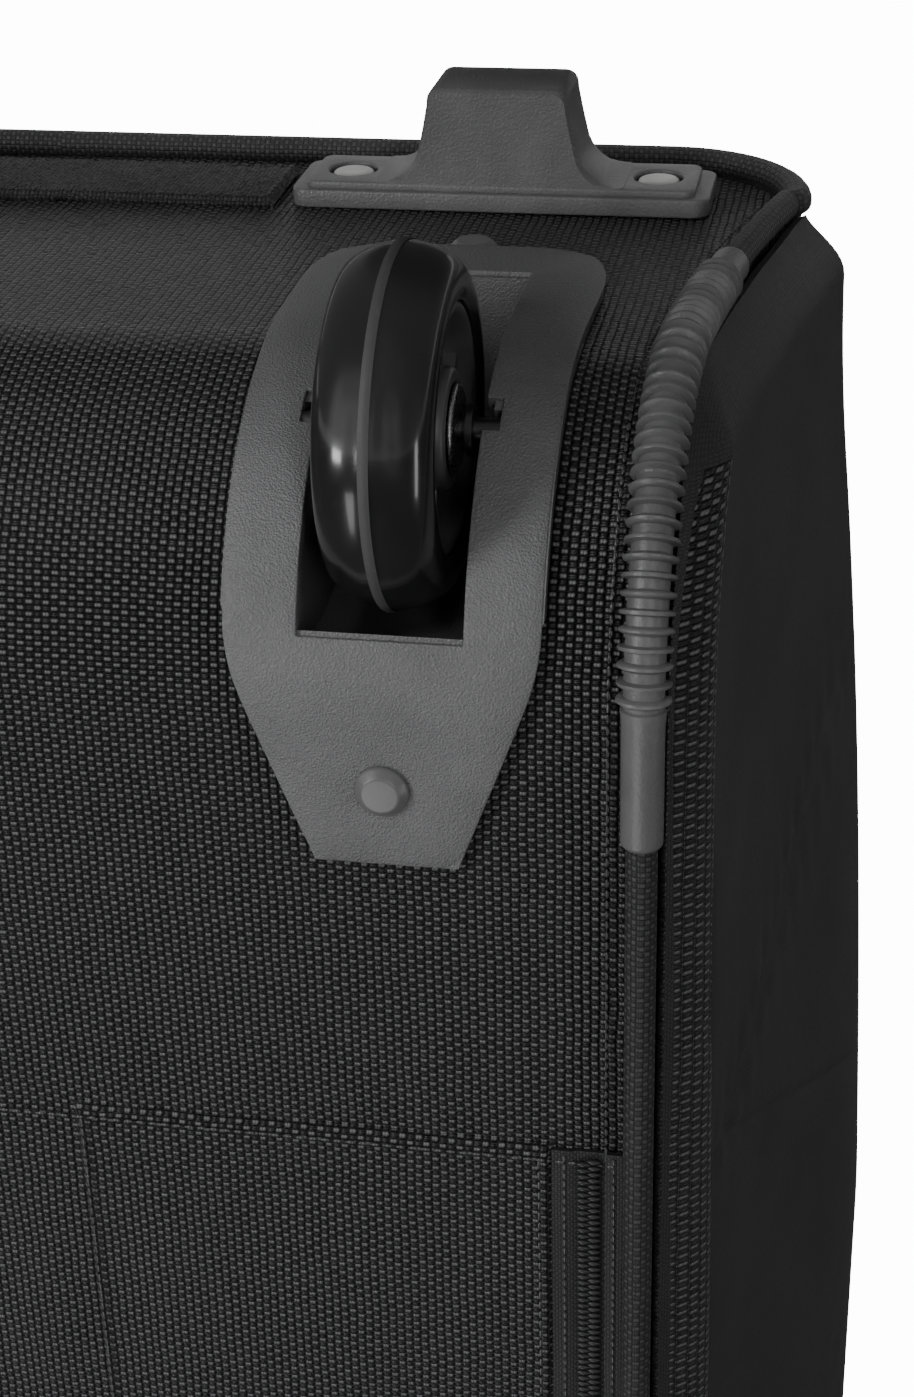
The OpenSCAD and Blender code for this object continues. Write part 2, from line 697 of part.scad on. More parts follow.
// ---- Back pockets and their zips ----
seam_z = bottom_z + 167;
pocket_in = 47;
back_zip_x = side_x - 13;
back_zip_w = 17;
back_pad_t = 2.5;
module back_pocket() {
    color("#202021") box([pocket_in, back_y + touch, seam_z],
        [back_zip_x - back_zip_w / 2 - 0.5, back_y + back_pad_t, top_z - corner_r - 8]);
}
module back_zips() {
    color("#161617") both_sides() {
        box([back_zip_x - back_zip_w / 2, back_y + touch, seam_z + 2],
            [back_zip_x + back_zip_w / 2 - 1.5, back_y + 1, top_z - corner_r - 8]);
        box([back_zip_x - 4, back_y + 1, seam_z + 2], [back_zip_x + 3, back_y + 2.4, top_z - corner_r - 8]);
    }
}
slider_l = 15;
module slider_body(w = 9, l = slider_l) {
    linear_extrude(2.2) polygon([[-w / 2 + 1.5, -l / 2], [w / 2 - 1.5, -l / 2], [w / 2, -l / 2 + 3],
        [w / 2 - 1, l / 2], [-w / 2 + 1, l / 2], [-w / 2, -l / 2 + 3]]);
    translate([-1.5, -4, 0]) cube([3, 8, 3.2]);
}
module slider_pull(l = 24) {
    translate([0, 0, 2.4]) linear_extrude(1.4) difference() {
        polygon([[-2.6, 1], [2.6, 1], [3.4, -l], [2.2, -l - 2], [-2.2, -l - 2], [-3.4, -l]]);
        translate([-1.9, -4.4]) square([3.8, 4.8]);
    }
}
module back_slider(s) {
    color("#6f7072") translate([s * (back_zip_x - 0.5), back_y + 2.4 + fit_gap, top_z - corner_r - 60])
        rotate([90, 0, 180]) union() {
            slider_body(8.4);
            slider_pull(20);
        }
}

// ---- Main zip, lid and hinge ----
module zip_ring(y0, y1, t) {
    intersection() {
        along_y(y1 - y0, (y0 + y1) / 2) difference() {
            back_outline(-t);
            back_outline(-touch);
        }
        box([-far, -far, hinge_z + lid_gap], [far, far, far]);
    }
}
module main_zip_case() {
    color("#171718") {
        zip_ring(zip_y + seam_gap + 1.2, zip_y + tape_w, zip_t);
        zip_ring(zip_y + 0.2, zip_y + seam_gap + 1.2, bead);
        both_sides() zip_tail();
    }
}
// The last stretch of the zip's tape runs on down the side, below the lid.
module zip_tail() {
    top = hinge_z + lid_gap - fit_gap;
    box([side_x + touch, zip_y + seam_gap + 1.2, top - tail_len], [side_x + zip_t, zip_y + tape_w - 1, top]);
}
module main_zip_lid() {
    color("#171718") {
        intersection() {
            union() {
                zip_ring(zip_y - tape_w + 2, zip_y - 1.6, zip_t);
                zip_ring(zip_y - 1.6, zip_y - 0.2, bead);
            }
            box([-far, -far, 0], [far, far, far]);
        }
    }
}
module at_main_slider(s) {
    translate([s * 26, zip_y, top_z + bead + 2 * fit_gap]) rotate([0, 0, s * 90]) children();
}
module main_slider(s) {
    color("#6f7072") at_main_slider(s) difference() {
        union() {
            slider_body();
            translate([-1.5, -4, 2]) cube([3, 8, 3.4]);
        }
        rod_x(0.9, 10, [0, 0, 3.8]);
    }
}
module main_pull(s) {
    color("#7d7e80") at_main_slider(s) {
        rod_x(0.8, 7, [0, 0, 3.8]);
        for (k = [-1, 1]) translate([k * 2.9, 0, 0]) box([-0.6, -7, 3], [0.6, 0.8, 4.6]);
        box([-3.5, -30, 3], [3.5, -6.9, 4.6]);
    }
}
module lid_form(t) {
    r = corner_r - t;
    intersection() {
        along_y(far) back_outline(t);
        linear_extrude(far) plan_outline(t);
        along_x(far) polygon(concat([[front_y + t, 0]],
            arc([front_y + corner_r, top_z - corner_r], r, 180, 90), [[back_y, top_z - t], [back_y, 0]]));
    }
}
module lid_shell() {
    color("#1c1c1d") difference() {
        intersection() {
            lid_form(0);
            box([-far, -far, hinge_z + lid_gap], [far, zip_y - seam_gap, far]);
        }
        lid_form(wall);
    }
}
module lid_piping() {
    x = side_x - corner_r + 8;
    z_top = top_z - corner_r + 8;
    y = front_y - pipe_r + 0.9;
    r = 26;
    color("#222223") difference() {
        both_sides() {
            translate([x, y, hinge_z + 14]) cylinder(r = 2.4, h = z_top - r - hinge_z - 14, $fn = 24);
            translate([x - r, y, z_top - r]) rotate([90, 0, 0]) ring_part(r, 2.4, 90);
            rod_x(2.4, x - r, [(x - r) / 2, y, z_top], $fn = 24);
        }
        box([-far, front_y - touch, 0], [far, far, far]);
        box([-pocket_w / 2 - 3, -far, 0], [pocket_w / 2 + 3, far, hinge_z + 14 - touch]);
    }
}
module hinge_welt() {
    color("#222223") rod_x(welt_r, 2 * (side_x - corner_r), [0, hinge_y, hinge_z], $fn = 24);
}
module lid_inner_pocket() {
    color("#4c4d50") box([-side_x + 40, front_y + wall + touch, hinge_z + 40],
        [side_x - 40, front_y + wall + 2, top_z - 60]);
}

// ---- Front pockets ----
pocket_w = case_w - 84;
pocket_z = hinge_z + 22;
slim_z = pocket_z + pocket_h + 12;
// A padded pocket standing t proud of the lid's face, every edge rounded by r.
module pad(w, t, h, r) {
    intersection() {
        along_y(2 * t) polygon(concat(arc([w / 2 - r, r], r, -90, 0), arc([w / 2 - r, h - r], r, 0, 90),
            arc([r - w / 2, h - r], r, 90, 180), arc([r - w / 2, r], r, 180, 270)));
        linear_extrude(h) polygon(concat([[w / 2, 0], [-w / 2, 0]],
            arc([r - w / 2, r - t], r, 180, 270), arc([w / 2 - r, r - t], r, 270, 360)));
        along_x(w) polygon(concat([[0, h], [0, 0]],
            arc([r - t, r], r, 270, 180), arc([r - t, h - r], r, 180, 90)));
    }
}
module front_pocket() {
    color("#1c1c1d") translate([0, front_y - touch, pocket_z]) pad(pocket_w, pocket_t, pocket_h, 14);
}
module slim_pocket() {
    color("#1c1c1d") translate([0, front_y - touch, slim_z]) pad(pocket_w, slim_t, slim_h, 10);
}
zip_run = pocket_w / 2 - 30;
front_zip_z = pocket_z + pocket_h - 34;
slim_zip_z = slim_z + slim_h - 26;
module pocket_zips() {
    color("#171718") {
        box([-zip_run, front_y - pocket_t - 1 - touch, front_zip_z - 7],
            [zip_run, front_y - pocket_t - touch, front_zip_z + 7]);
        box([-zip_run, front_y - pocket_t - 2, front_zip_z - 3],
            [zip_run, front_y - pocket_t - 1 - touch, front_zip_z + 3]);
        box([-zip_run, front_y - slim_t - 1 - touch, slim_zip_z - 7],
            [zip_run, front_y - slim_t - touch, slim_zip_z + 7]);
        box([-zip_run, front_y - slim_t - 2, slim_zip_z - 3],
            [zip_run, front_y - slim_t - 1 - touch, slim_zip_z + 3]);
    }
}
slider_x = -zip_run + 24;
module pocket_slider(t, z) {
    color("#6f7072") translate([slider_x, front_y - t - 2 - fit_gap, z]) rotate([90, 0, 0])
        union() {
            rotate([0, 0, 90]) slider_body(7.4, 12);
            slider_pull(18);
        }
}

back_bottom_panel();
side_panel(-1);  // side_panel_left
side_panel(1);  // side_panel_right
top_panel();
front_sill();
edge_piping();
mirror([1, 0, 0]) corner_guard();  // corner_guard_left
corner_guard();  // corner_guard_right
back_board();
frame_rods();
lining();
mirror([1, 0, 0]) wheel_housing();  // wheel_housing_left
wheel_housing();  // wheel_housing_right
housing_rivets();
wheel_axles();
mirror([1, 0, 0]) tyre();  // tyre_left
mirror([1, 0, 0]) hub();  // hub_left
mirror([1, 0, 0]) bearings();  // bearings_left
tyre();  // tyre_right
hub();  // hub_right
bearings();  // bearings_right
mirror([1, 0, 0]) foot();  // foot_left
foot();  // foot_right
foot_rivets();
bottom_loop_strip();
outer_tubes();
handle_tray();
tube_bracket();
handle_screws();
middle_tubes();
middle_collars();
inner_tubes();
grip_base();
grip_cover();
release_button();
release_rods();
top_handle();
top_handle_caps();
side_handle();
side_handle_caps();
both_sides() back_pocket();  // back_pockets
back_zips();
back_slider(-1);  // back_slider_left
back_slider(1);  // back_slider_right
main_zip_case();
main_zip_lid();
main_slider(-1);  // main_slider_left
main_slider(1);  // main_slider_right
lid_shell();
lid_piping();
hinge_welt();
lid_inner_pocket();
front_pocket();
slim_pocket();
pocket_zips();
pocket_slider(pocket_t, front_zip_z);  // front_pocket_slider
pocket_slider(slim_t, slim_zip_z);  // slim_pocket_slider
main_pull(-1);  // main_pull_left
main_pull(1);  // main_pull_right
tie_straps();
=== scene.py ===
"""A softside upright suitcase: woven panels, piping, ribbed corner guards, recessed wheels and feet."""
import json
import math

import bpy
from mathutils import Matrix, Vector, noise


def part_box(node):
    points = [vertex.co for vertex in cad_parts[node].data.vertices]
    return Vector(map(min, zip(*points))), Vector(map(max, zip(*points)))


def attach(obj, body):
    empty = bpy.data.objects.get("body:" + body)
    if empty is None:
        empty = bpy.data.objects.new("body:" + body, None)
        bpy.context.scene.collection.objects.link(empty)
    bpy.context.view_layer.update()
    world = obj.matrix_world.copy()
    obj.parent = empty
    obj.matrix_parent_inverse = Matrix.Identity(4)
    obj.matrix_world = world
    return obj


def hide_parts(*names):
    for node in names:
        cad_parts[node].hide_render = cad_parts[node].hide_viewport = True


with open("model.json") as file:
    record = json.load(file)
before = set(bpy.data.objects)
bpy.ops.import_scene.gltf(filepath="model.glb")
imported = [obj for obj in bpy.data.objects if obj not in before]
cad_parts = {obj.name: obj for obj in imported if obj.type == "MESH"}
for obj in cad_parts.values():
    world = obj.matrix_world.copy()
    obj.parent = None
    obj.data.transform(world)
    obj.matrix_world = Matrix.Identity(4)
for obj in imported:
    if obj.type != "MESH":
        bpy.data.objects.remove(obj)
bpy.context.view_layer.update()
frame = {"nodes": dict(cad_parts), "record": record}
nodes = frame["nodes"]
MM = 0.001

# ---------------------------------------------------------------- places read from the frame


def low(name):
    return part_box(name)[0]


def high(name):
    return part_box(name)[1]


PANEL_LOW, PANEL_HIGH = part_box("back_bottom_panel")
SIDE_X = PANEL_HIGH.x
BACK_Y = PANEL_HIGH.y
FRONT_Y = PANEL_LOW.y
BOTTOM_Z = PANEL_LOW.z
TOP_Z = PANEL_HIGH.z
TYRE_LOW, TYRE_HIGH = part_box("tyre_right")
WHEEL_X = (TYRE_LOW.x + TYRE_HIGH.x) / 2
WHEEL_R = (TYRE_HIGH.z - TYRE_LOW.z) / 2
AXLE_Y = (TYRE_LOW.y + TYRE_HIGH.y) / 2
AXLE_Z = (TYRE_LOW.z + TYRE_HIGH.z) / 2
BEND_R = 62 * MM
BEND_Y = BACK_Y - BEND_R
BEND_Z = BOTTOM_Z + BEND_R
CORNER_R = 36 * MM
ZIP_Y = high("lid_shell").y + 1 * MM
HINGE_Z = high("front_sill").z + 2 * MM

# ---------------------------------------------------------------- camera, light and floor


# The camera's place from the right wheel's middle: across, out from the back and below the bottom panel.
CAMERA_ACROSS = 0.1026
CAMERA_OUT = 0.4471
CAMERA_BELOW = 0.1863
CAMERA_LENS = 65.07
CAMERA_NEAR = 0.05
CAMERA_FAR = 60
CAMERA_YAW = 11.01
CAMERA_PITCH = 27.99
CAMERA_ROLL = 1.58


def make_camera():
    """Looks up at the back of the case from below, with the case's foot at the top of the picture."""
    data = bpy.data.cameras.new("camera")
    camera = bpy.data.objects.new("camera", data)
    bpy.context.scene.collection.objects.link(camera)
    bpy.context.scene.camera = camera
    camera.location = (WHEEL_X + CAMERA_ACROSS, BACK_Y + CAMERA_OUT, BOTTOM_Z - CAMERA_BELOW)
    data.lens = CAMERA_LENS
    data.clip_start, data.clip_end = CAMERA_NEAR, CAMERA_FAR
    yaw, pitch, roll = math.radians(CAMERA_YAW), math.radians(CAMERA_PITCH), math.radians(CAMERA_ROLL)
    forward = Vector((-math.sin(yaw) * math.cos(pitch), -math.cos(yaw) * math.cos(pitch), math.sin(pitch)))
    right = Vector((math.cos(yaw), -math.sin(yaw), 0))
    down = Vector((0, 0, 1)) - forward * forward.z
    down.normalize()
    turned_right = right * math.cos(roll) + down * math.sin(roll)
    turned_down = down * math.cos(roll) - right * math.sin(roll)
    camera.rotation_mode = "QUATERNION"
    axes = Matrix((turned_right, -turned_down, -forward)).transposed()
    camera.rotation_quaternion = axes.to_quaternion()
    return camera


make_camera()


def make_material(name):
    material = bpy.data.materials.new(name)
    material.use_nodes = True
    material.node_tree.nodes.clear()
    return material


FLOOR_SIZE = 30
FLOOR_GAP = 0.0005


def make_floor():
    """A pale floor that shows only from above, so the case can also be looked at from below."""
    bpy.ops.mesh.primitive_plane_add(size=FLOOR_SIZE, location=(0, 0, -FLOOR_GAP))
    floor = bpy.context.object
    floor.name = "floor"
    material = make_material("pale_floor")
    tree = material.node_tree
    diffuse = tree.nodes.new("ShaderNodeBsdfDiffuse")
    diffuse.inputs["Color"].default_value = (0.8, 0.8, 0.8, 1)
    clear = tree.nodes.new("ShaderNodeBsdfTransparent")
    geometry = tree.nodes.new("ShaderNodeNewGeometry")
    path = tree.nodes.new("ShaderNodeLightPath")
    glow = tree.nodes.new("ShaderNodeEmission")
    tree.links.new(path.outputs["Is Camera Ray"], glow.inputs["Strength"])
    lit = tree.nodes.new("ShaderNodeAddShader")
    tree.links.new(diffuse.outputs["BSDF"], lit.inputs[0])
    tree.links.new(glow.outputs["Emission"], lit.inputs[1])
    # Light from the lamps under the floor passes through it, so the wheels' side is lit too.
    open_floor = tree.nodes.new("ShaderNodeMath")
    open_floor.operation = "MAXIMUM"
    tree.links.new(geometry.outputs["Backfacing"], open_floor.inputs[0])
    tree.links.new(path.outputs["Is Shadow Ray"], open_floor.inputs[1])
    mix = tree.nodes.new("ShaderNodeMixShader")
    out = tree.nodes.new("ShaderNodeOutputMaterial")
    tree.links.new(open_floor.outputs[0], mix.inputs["Fac"])
    tree.links.new(lit.outputs["Shader"], mix.inputs[1])
    tree.links.new(clear.outputs["BSDF"], mix.inputs[2])
    tree.links.new(mix.outputs["Shader"], out.inputs["Surface"])
    floor.data.materials.append(material)


def make_light(name, place, aim, size, power):
    """A soft box that looks at aim."""
    data = bpy.data.lights.new(name, "AREA")
    data.shape = "RECTANGLE"
    data.size, data.size_y = size
    data.energy = power
    light = bpy.data.objects.new(name, data)
    bpy.context.scene.collection.objects.link(light)
    light.location = place
    light.rotation_mode = "QUATERNION"
    light.rotation_quaternion = (Vector(aim) - Vector(place)).to_track_quat("-Z", "Y")


# Each lamp's name, place, aim, size in metres and power in watts.
LAMPS = (
    ("key_below", (-0.62, 0.8, -0.25), (0.1, 0.1, 0.12), (0.22, 0.8), 8.5),
    ("strip_below", (0.75, 1.5, -0.45), (0.1, 0.05, 0.15), (0.2, 0.9), 6),
    ("rim_side", (1.7, 0.7, 0.2), (0.2, 0.02, 0.2), (0.25, 1.2), 4),
    ("foot_light", (0.3, 0.9, -1.3), (0.12, 0.0, 0.03), (0.8, 0.5), 4.5),
    ("key_above", (-1.6, -1.4, 2.4), (0, 0, 0.3), (1.4, 1.4), 95),
    ("fill_back", (-0.9, 2.4, 1.8), (0, 0, 0.3), (1.5, 1.5), 22),
)
SURROUND_LIGHT = 0.07
SURROUND_SEEN = 14.0


def make_lights():
    """Soft boxes on both sides and a plain white surround, which lights the case less than it shows."""
    world = bpy.data.worlds.new("studio")
    bpy.context.scene.world = world
    world.use_nodes = True
    tree = world.node_tree
    surround = tree.nodes["Background"]
    surround.inputs["Color"].default_value = (0.93, 0.94, 0.95, 1)
    surround.inputs["Strength"].default_value = SURROUND_LIGHT
    seen = tree.nodes.new("ShaderNodeBackground")
    seen.inputs["Color"].default_value = (1, 1, 1, 1)
    seen.inputs["Strength"].default_value = SURROUND_SEEN
    path = tree.nodes.new("ShaderNodeLightPath")
    mix = tree.nodes.new("ShaderNodeMixShader")
    tree.links.new(path.outputs["Is Camera Ray"], mix.inputs["Fac"])
    tree.links.new(surround.outputs["Background"], mix.inputs[1])
    tree.links.new(seen.outputs["Background"], mix.inputs[2])
    tree.links.new(mix.outputs["Shader"], tree.nodes["World Output"].inputs["Surface"])
    for lamp in LAMPS:
        make_light(*lamp)


make_floor()
make_lights()

# ---------------------------------------------------------------- shader effects


def new_group(name, inputs, outputs):
    """A shader node group with number or colour inputs and outputs, and its two end nodes."""
    group = bpy.data.node_groups.new(name, "ShaderNodeTree")
    kinds = {"f": "NodeSocketFloat", "c": "NodeSocketColor", "v": "NodeSocketVector"}
    for label, kind, value in inputs:
        made = group.interface.new_socket(label, in_out="INPUT", socket_type=kinds[kind])
        if value is not None:
            made.default_value = value
    for label, kind in outputs:
        group.interface.new_socket(label, in_out="OUTPUT", socket_type=kinds[kind])
    start = group.nodes.new("NodeGroupInput")
    end = group.nodes.new("NodeGroupOutput")
    return group, start, end


def math_node(tree, operation, a, b=None, clamp=False):
    node = tree.nodes.new("ShaderNodeMath")
    node.operation = operation
    node.use_clamp = clamp
    for socket, value in zip(node.inputs, (a, b)):
        if value is None:
            continue
        if isinstance(value, (int, float)):
            socket.default_value = value
        else:
            tree.links.new(value, socket)
    return node.outputs[0]


def vector_node(tree, operation, a, b=None):
    node = tree.nodes.new("ShaderNodeVectorMath")
    node.operation = operation
    for socket, value in zip(node.inputs, (a, b)):
        if value is None:
            continue
        if isinstance(value, (tuple, Vector)):
            socket.default_value = value
        else:
            tree.links.new(value, socket)
    return node.outputs[0]


def mix_colour(tree, factor, a, b):
    node = tree.nodes.new("ShaderNodeMix")
    node.data_type = "RGBA"
    for socket, value in ((node.inputs["Factor"], factor), (node.inputs[6], a), (node.inputs[7], b)):
        if isinstance(value, (int, float, tuple)):
            socket.default_value = value
        else:
            tree.links.new(value, socket)
    return node.outputs[2]


def range_node(tree, value, a, b, c=0.0, d=1.0):
    node = tree.nodes.new("ShaderNodeMapRange")
    tree.links.new(value, node.inputs["Value"])
    for name, number in (("From Min", a), ("From Max", b), ("To Min", c), ("To Max", d)):
        node.inputs[name].default_value = number
    return node.outputs["Result"]


def noise_node(tree, vector, scale, detail=3.0, rough=0.5):
    node = tree.nodes.new("ShaderNodeTexNoise")
    tree.links.new(vector, node.inputs["Vector"])
    if isinstance(scale, (int, float)):
        node.inputs["Scale"].default_value = scale
    else:
        tree.links.new(scale, node.inputs["Scale"])
    node.inputs["Detail"].default_value = detail
    node.inputs["Roughness"].default_value = rough
    return node.outputs["Fac"]


def weave_group():
    """A basket weave over a flat map in metres: warp and weft bundles take turns on top.

    Height is the thread's relief, Over says which way the top bundle runs, and the gap output is a mask of
    painted shade: 0 in the dips between bundles, where the cloth is painted near black."""
    group, start, end = new_group(
        "basket_weave",
        [
            ("Map", "v", None), ("Warp", "f", 0.0017), ("Weft", "f", 0.0012), ("Strands", "f", 2.0),
            ("Wander", "f", 0.12),
        ],
        [("Height", "f"), ("Over", "f"), ("Gap", "f"), ("Tone", "f")],
    )
    t = group
    wob = t.nodes.new("ShaderNodeTexNoise")
    wob.inputs["Scale"].default_value = 90
    wob.inputs["Detail"].default_value = 2
    t.links.new(start.outputs["Map"], wob.inputs["Vector"])
    shift = vector_node(t, "SUBTRACT", wob.outputs["Color"], (0.5, 0.5, 0.5))
    split = t.nodes.new("ShaderNodeSeparateXYZ")
    t.links.new(start.outputs["Map"], split.inputs[0])
    wander = t.nodes.new("ShaderNodeSeparateXYZ")
    t.links.new(shift, wander.inputs[0])
    u = math_node(t, "DIVIDE", split.outputs["X"], start.outputs["Warp"])
    v = math_node(t, "DIVIDE", split.outputs["Y"], start.outputs["Weft"])
    u = math_node(
        t, "ADD", u,
        math_node(t, "MULTIPLY", wander.outputs["X"], math_node(t, "MULTIPLY", start.outputs["Wander"], 4)),
    )
    v = math_node(
        t, "ADD", v,
        math_node(t, "MULTIPLY", wander.outputs["Y"], math_node(t, "MULTIPLY", start.outputs["Wander"], 4)),
    )
    # Which bundle is on top: a chequer of whole cells.
    cell_u = math_node(t, "FLOOR", u)
    cell_v = math_node(t, "FLOOR", v)
    odd = math_node(t, "PINGPONG", math_node(t, "ADD", cell_u, cell_v), 1.0)
    over = math_node(t, "GREATER_THAN", odd, 0.5)
    fu = math_node(t, "FRACT", u)
    fv = math_node(t, "FRACT", v)
    # A bundle bulges across its width and dips where it goes under its neighbours.
    across_u = math_node(t, "SINE", math_node(t, "MULTIPLY", fu, math.pi))
    across_v = math_node(t, "SINE", math_node(t, "MULTIPLY", fv, math.pi))
    strand_u = math_node(
        t, "ABSOLUTE",
        math_node(
            t, "SINE",
            math_node(t, "MULTIPLY", math_node(t, "MULTIPLY", fu, start.outputs["Strands"]), math.pi),
        ),
    )
    strand_v = math_node(
        t, "ABSOLUTE",
        math_node(
            t, "SINE",
            math_node(t, "MULTIPLY", math_node(t, "MULTIPLY", fv, start.outputs["Strands"]), math.pi),
        ),
    )

    def bundle(width, length, strand):
        rounded = math_node(t, "POWER", math_node(t, "ADD", width, 0.0001), 0.45)
        dip = math_node(t, "POWER", math_node(t, "ADD", length, 0.0001), 0.6)
        body = math_node(t, "MULTIPLY", rounded, dip)
        return math_node(
            t, "MULTIPLY", body, math_node(t, "ADD", 0.74, math_node(t, "MULTIPLY", strand, 0.26))
        )

    warp = bundle(across_u, across_v, strand_u)
    weft = bundle(across_v, across_u, strand_v)
    warp_part = math_node(t, "MULTIPLY", warp, over)
    weft_part = math_node(t, "MULTIPLY", weft, math_node(t, "SUBTRACT", 1.0, over))
    height = math_node(t, "ADD", warp_part, weft_part)
    # Painted shade: this mask is 0 where the bundles dip, and there the cloth is painted near black.
    gap_shade = range_node(t, height, 0.42, 0.8)
    cells = t.nodes.new("ShaderNodeCombineXYZ")
    t.links.new(cell_u, cells.inputs[0])
    t.links.new(cell_v, cells.inputs[1])
    tone = t.nodes.new("ShaderNodeTexWhiteNoise")
    tone.noise_dimensions = "2D"
    t.links.new(cells.outputs[0], tone.inputs["Vector"])
    for name, value in (("Height", height), ("Over", over), ("Gap", gap_shade), ("Tone", tone.outputs["Value"])):
        t.links.new(value, end.inputs[name])
    return group


def pebble_group():
    """Moulded plastic's fine pebbled skin, with a slow change of shade."""
    group, start, end = new_group(
        "pebbled_skin", [("Place", "v", None), ("Size", "f", 900.0)], [("Height", "f"), ("Shade", "f")]
    )
    t = group
    cells = t.nodes.new("ShaderNodeTexVoronoi")
    cells.feature = "SMOOTH_F1"
    t.links.new(start.outputs["Place"], cells.inputs["Vector"])
    t.links.new(start.outputs["Size"], cells.inputs["Scale"])
    cells.inputs["Smoothness"].default_value = 0.6
    fine = noise_node(t, start.outputs["Place"], math_node(t, "MULTIPLY", start.outputs["Size"], 1.7), 2)
    height = math_node(
        t, "ADD", math_node(t, "MULTIPLY", cells.outputs["Distance"], 0.8),
        math_node(t, "MULTIPLY", fine, 0.5),
    )
    slow = noise_node(t, start.outputs["Place"], 35, 4, 0.6)
    t.links.new(height, end.inputs["Height"])
    t.links.new(slow, end.inputs["Shade"])
    return group


def dust_group():
    """Pale dust and scuffs: Mask is 1 where the surface is rubbed or dusty."""
    group, start, end = new_group(
        "light_dust", [("Place", "v", None), ("Amount", "f", 0.3)], [("Mask", "f")]
    )
    t = group
    broad = noise_node(t, start.outputs["Place"], 16, 5, 0.65)
    specks = noise_node(t, start.outputs["Place"], 420, 3, 0.7)
    spots = range_node(t, specks, 0.62, 0.8)
    cloud = range_node(t, broad, 0.45, 0.75)
    mask = math_node(
        t, "MULTIPLY",
        math_node(t, "ADD", math_node(t, "MULTIPLY", spots, 0.6), math_node(t, "MULTIPLY", cloud, 0.35)),
        start.outputs["Amount"], True,
    )
    t.links.new(mask, end.inputs["Mask"])
    return group


WEAVE = weave_group()
PEBBLE = pebble_group()
DUST = dust_group()


def place_group(tree, group, **values):
    node = tree.nodes.new("ShaderNodeGroup")
    node.node_tree = group
    for name, value in values.items():
        if isinstance(value, (int, float)):
            node.inputs[name].default_value = value
        else:
            tree.links.new(value, node.inputs[name])
    return node


def start_surface(name, roughness, metallic=0.0, specular=0.5, sheen=0.0, coat=0.0, coat_rough=0.1):
    material = make_material(name)
    tree = material.node_tree
    shader = tree.nodes.new("ShaderNodeBsdfPrincipled")
    out = tree.nodes.new("ShaderNodeOutputMaterial")
    tree.links.new(shader.outputs["BSDF"], out.inputs["Surface"])
    shader.inputs["Roughness"].default_value = roughness
    shader.inputs["Metallic"].default_value = metallic
    shader.inputs["Specular IOR Level"].default_value = specular
    shader.inputs["Sheen Weight"].default_value = sheen
    shader.inputs["Sheen Roughness"].default_value = 0.4
    shader.inputs["Coat Weight"].default_value = coat
    shader.inputs["Coat Roughness"].default_value = coat_rough
    coords = tree.nodes.new("ShaderNodeTexCoord")
    return material, tree, shader, coords


def add_bump(tree, shader, height, strength, distance):
    bump = tree.nodes.new("ShaderNodeBump")
    bump.inputs["Strength"].default_value = strength
    bump.inputs["Distance"].default_value = distance
    tree.links.new(height, bump.inputs["Height"])
    tree.links.new(bump.outputs["Normal"], shader.inputs["Normal"])
    return bump


def woven_material(
    name, dark, pale, warp, weft, relief, strands=2.0, use_map=True, dust=0.12, roughness=0.62, wander=0.12
):
    """Cloth with real bundles of thread. The warp bundles that lie on top are painted pale as a painted
    highlight, and the dips get painted shade. The map is the piece's own UV map in metres.
    """
    material, tree, shader, coords = start_surface(name, roughness, specular=0.5, sheen=0.03)
    source = coords.outputs["UV"] if use_map else coords.outputs["Object"]
    weave = place_group(tree, WEAVE, Map=source, Warp=warp, Weft=weft, Strands=strands, Wander=wander)
    dusty = place_group(tree, DUST, Place=coords.outputs["Object"], Amount=dust)
    toned = mix_colour(
        tree, weave.outputs["Tone"], dark, tuple(a * 0.9 + b * 0.1 for a, b in zip(dark, pale))
    )
    # Painted highlight: warp bundles on top are painted most of the way to the pale colour, as if they caught
    # the light.
    lit = mix_colour(tree, math_node(tree, "MULTIPLY", weave.outputs["Over"], 0.9), toned, pale)
    # Painted shade: the dips between bundles are painted near black, at 0.12 of the dark colour.
    gap_shaded = mix_colour(tree, weave.outputs["Gap"], (dark[0] * 0.12, dark[1] * 0.12, dark[2] * 0.12, 1), lit)
    final = mix_colour(tree, dusty.outputs["Mask"], gap_shaded, (0.32, 0.31, 0.3, 1))
    tree.links.new(final, shader.inputs["Base Color"])
    rough = range_node(tree, weave.outputs["Tone"], 0, 1, roughness - 0.04, roughness + 0.05)
    tree.links.new(rough, shader.inputs["Roughness"])
    add_bump(tree, shader, weave.outputs["Height"], 1.0, relief)
    return material


def plastic_material(name, colour, roughness, grain=900.0, depth=0.00015, dust=0.12, coat=0.0):
    material, tree, shader, coords = start_surface(name, roughness, coat=coat)
    skin = place_group(tree, PEBBLE, Place=coords.outputs["Object"], Size=grain)
    dusty = place_group(tree, DUST, Place=coords.outputs["Object"], Amount=dust)
    darker = tuple(c * 0.78 for c in colour[:3]) + (1,)
    shade = mix_colour(tree, range_node(tree, skin.outputs["Shade"], 0.35, 0.65), darker, colour)
    tree.links.new(
        mix_colour(tree, dusty.outputs["Mask"], shade, (0.45, 0.44, 0.43, 1)), shader.inputs["Base Color"]
    )
    tree.links.new(
        range_node(tree, skin.outputs["Shade"], 0.3, 0.7, roughness - 0.06, roughness + 0.08),
        shader.inputs["Roughness"],
    )
    add_bump(tree, shader, skin.outputs["Height"], 0.7, depth)
    return material


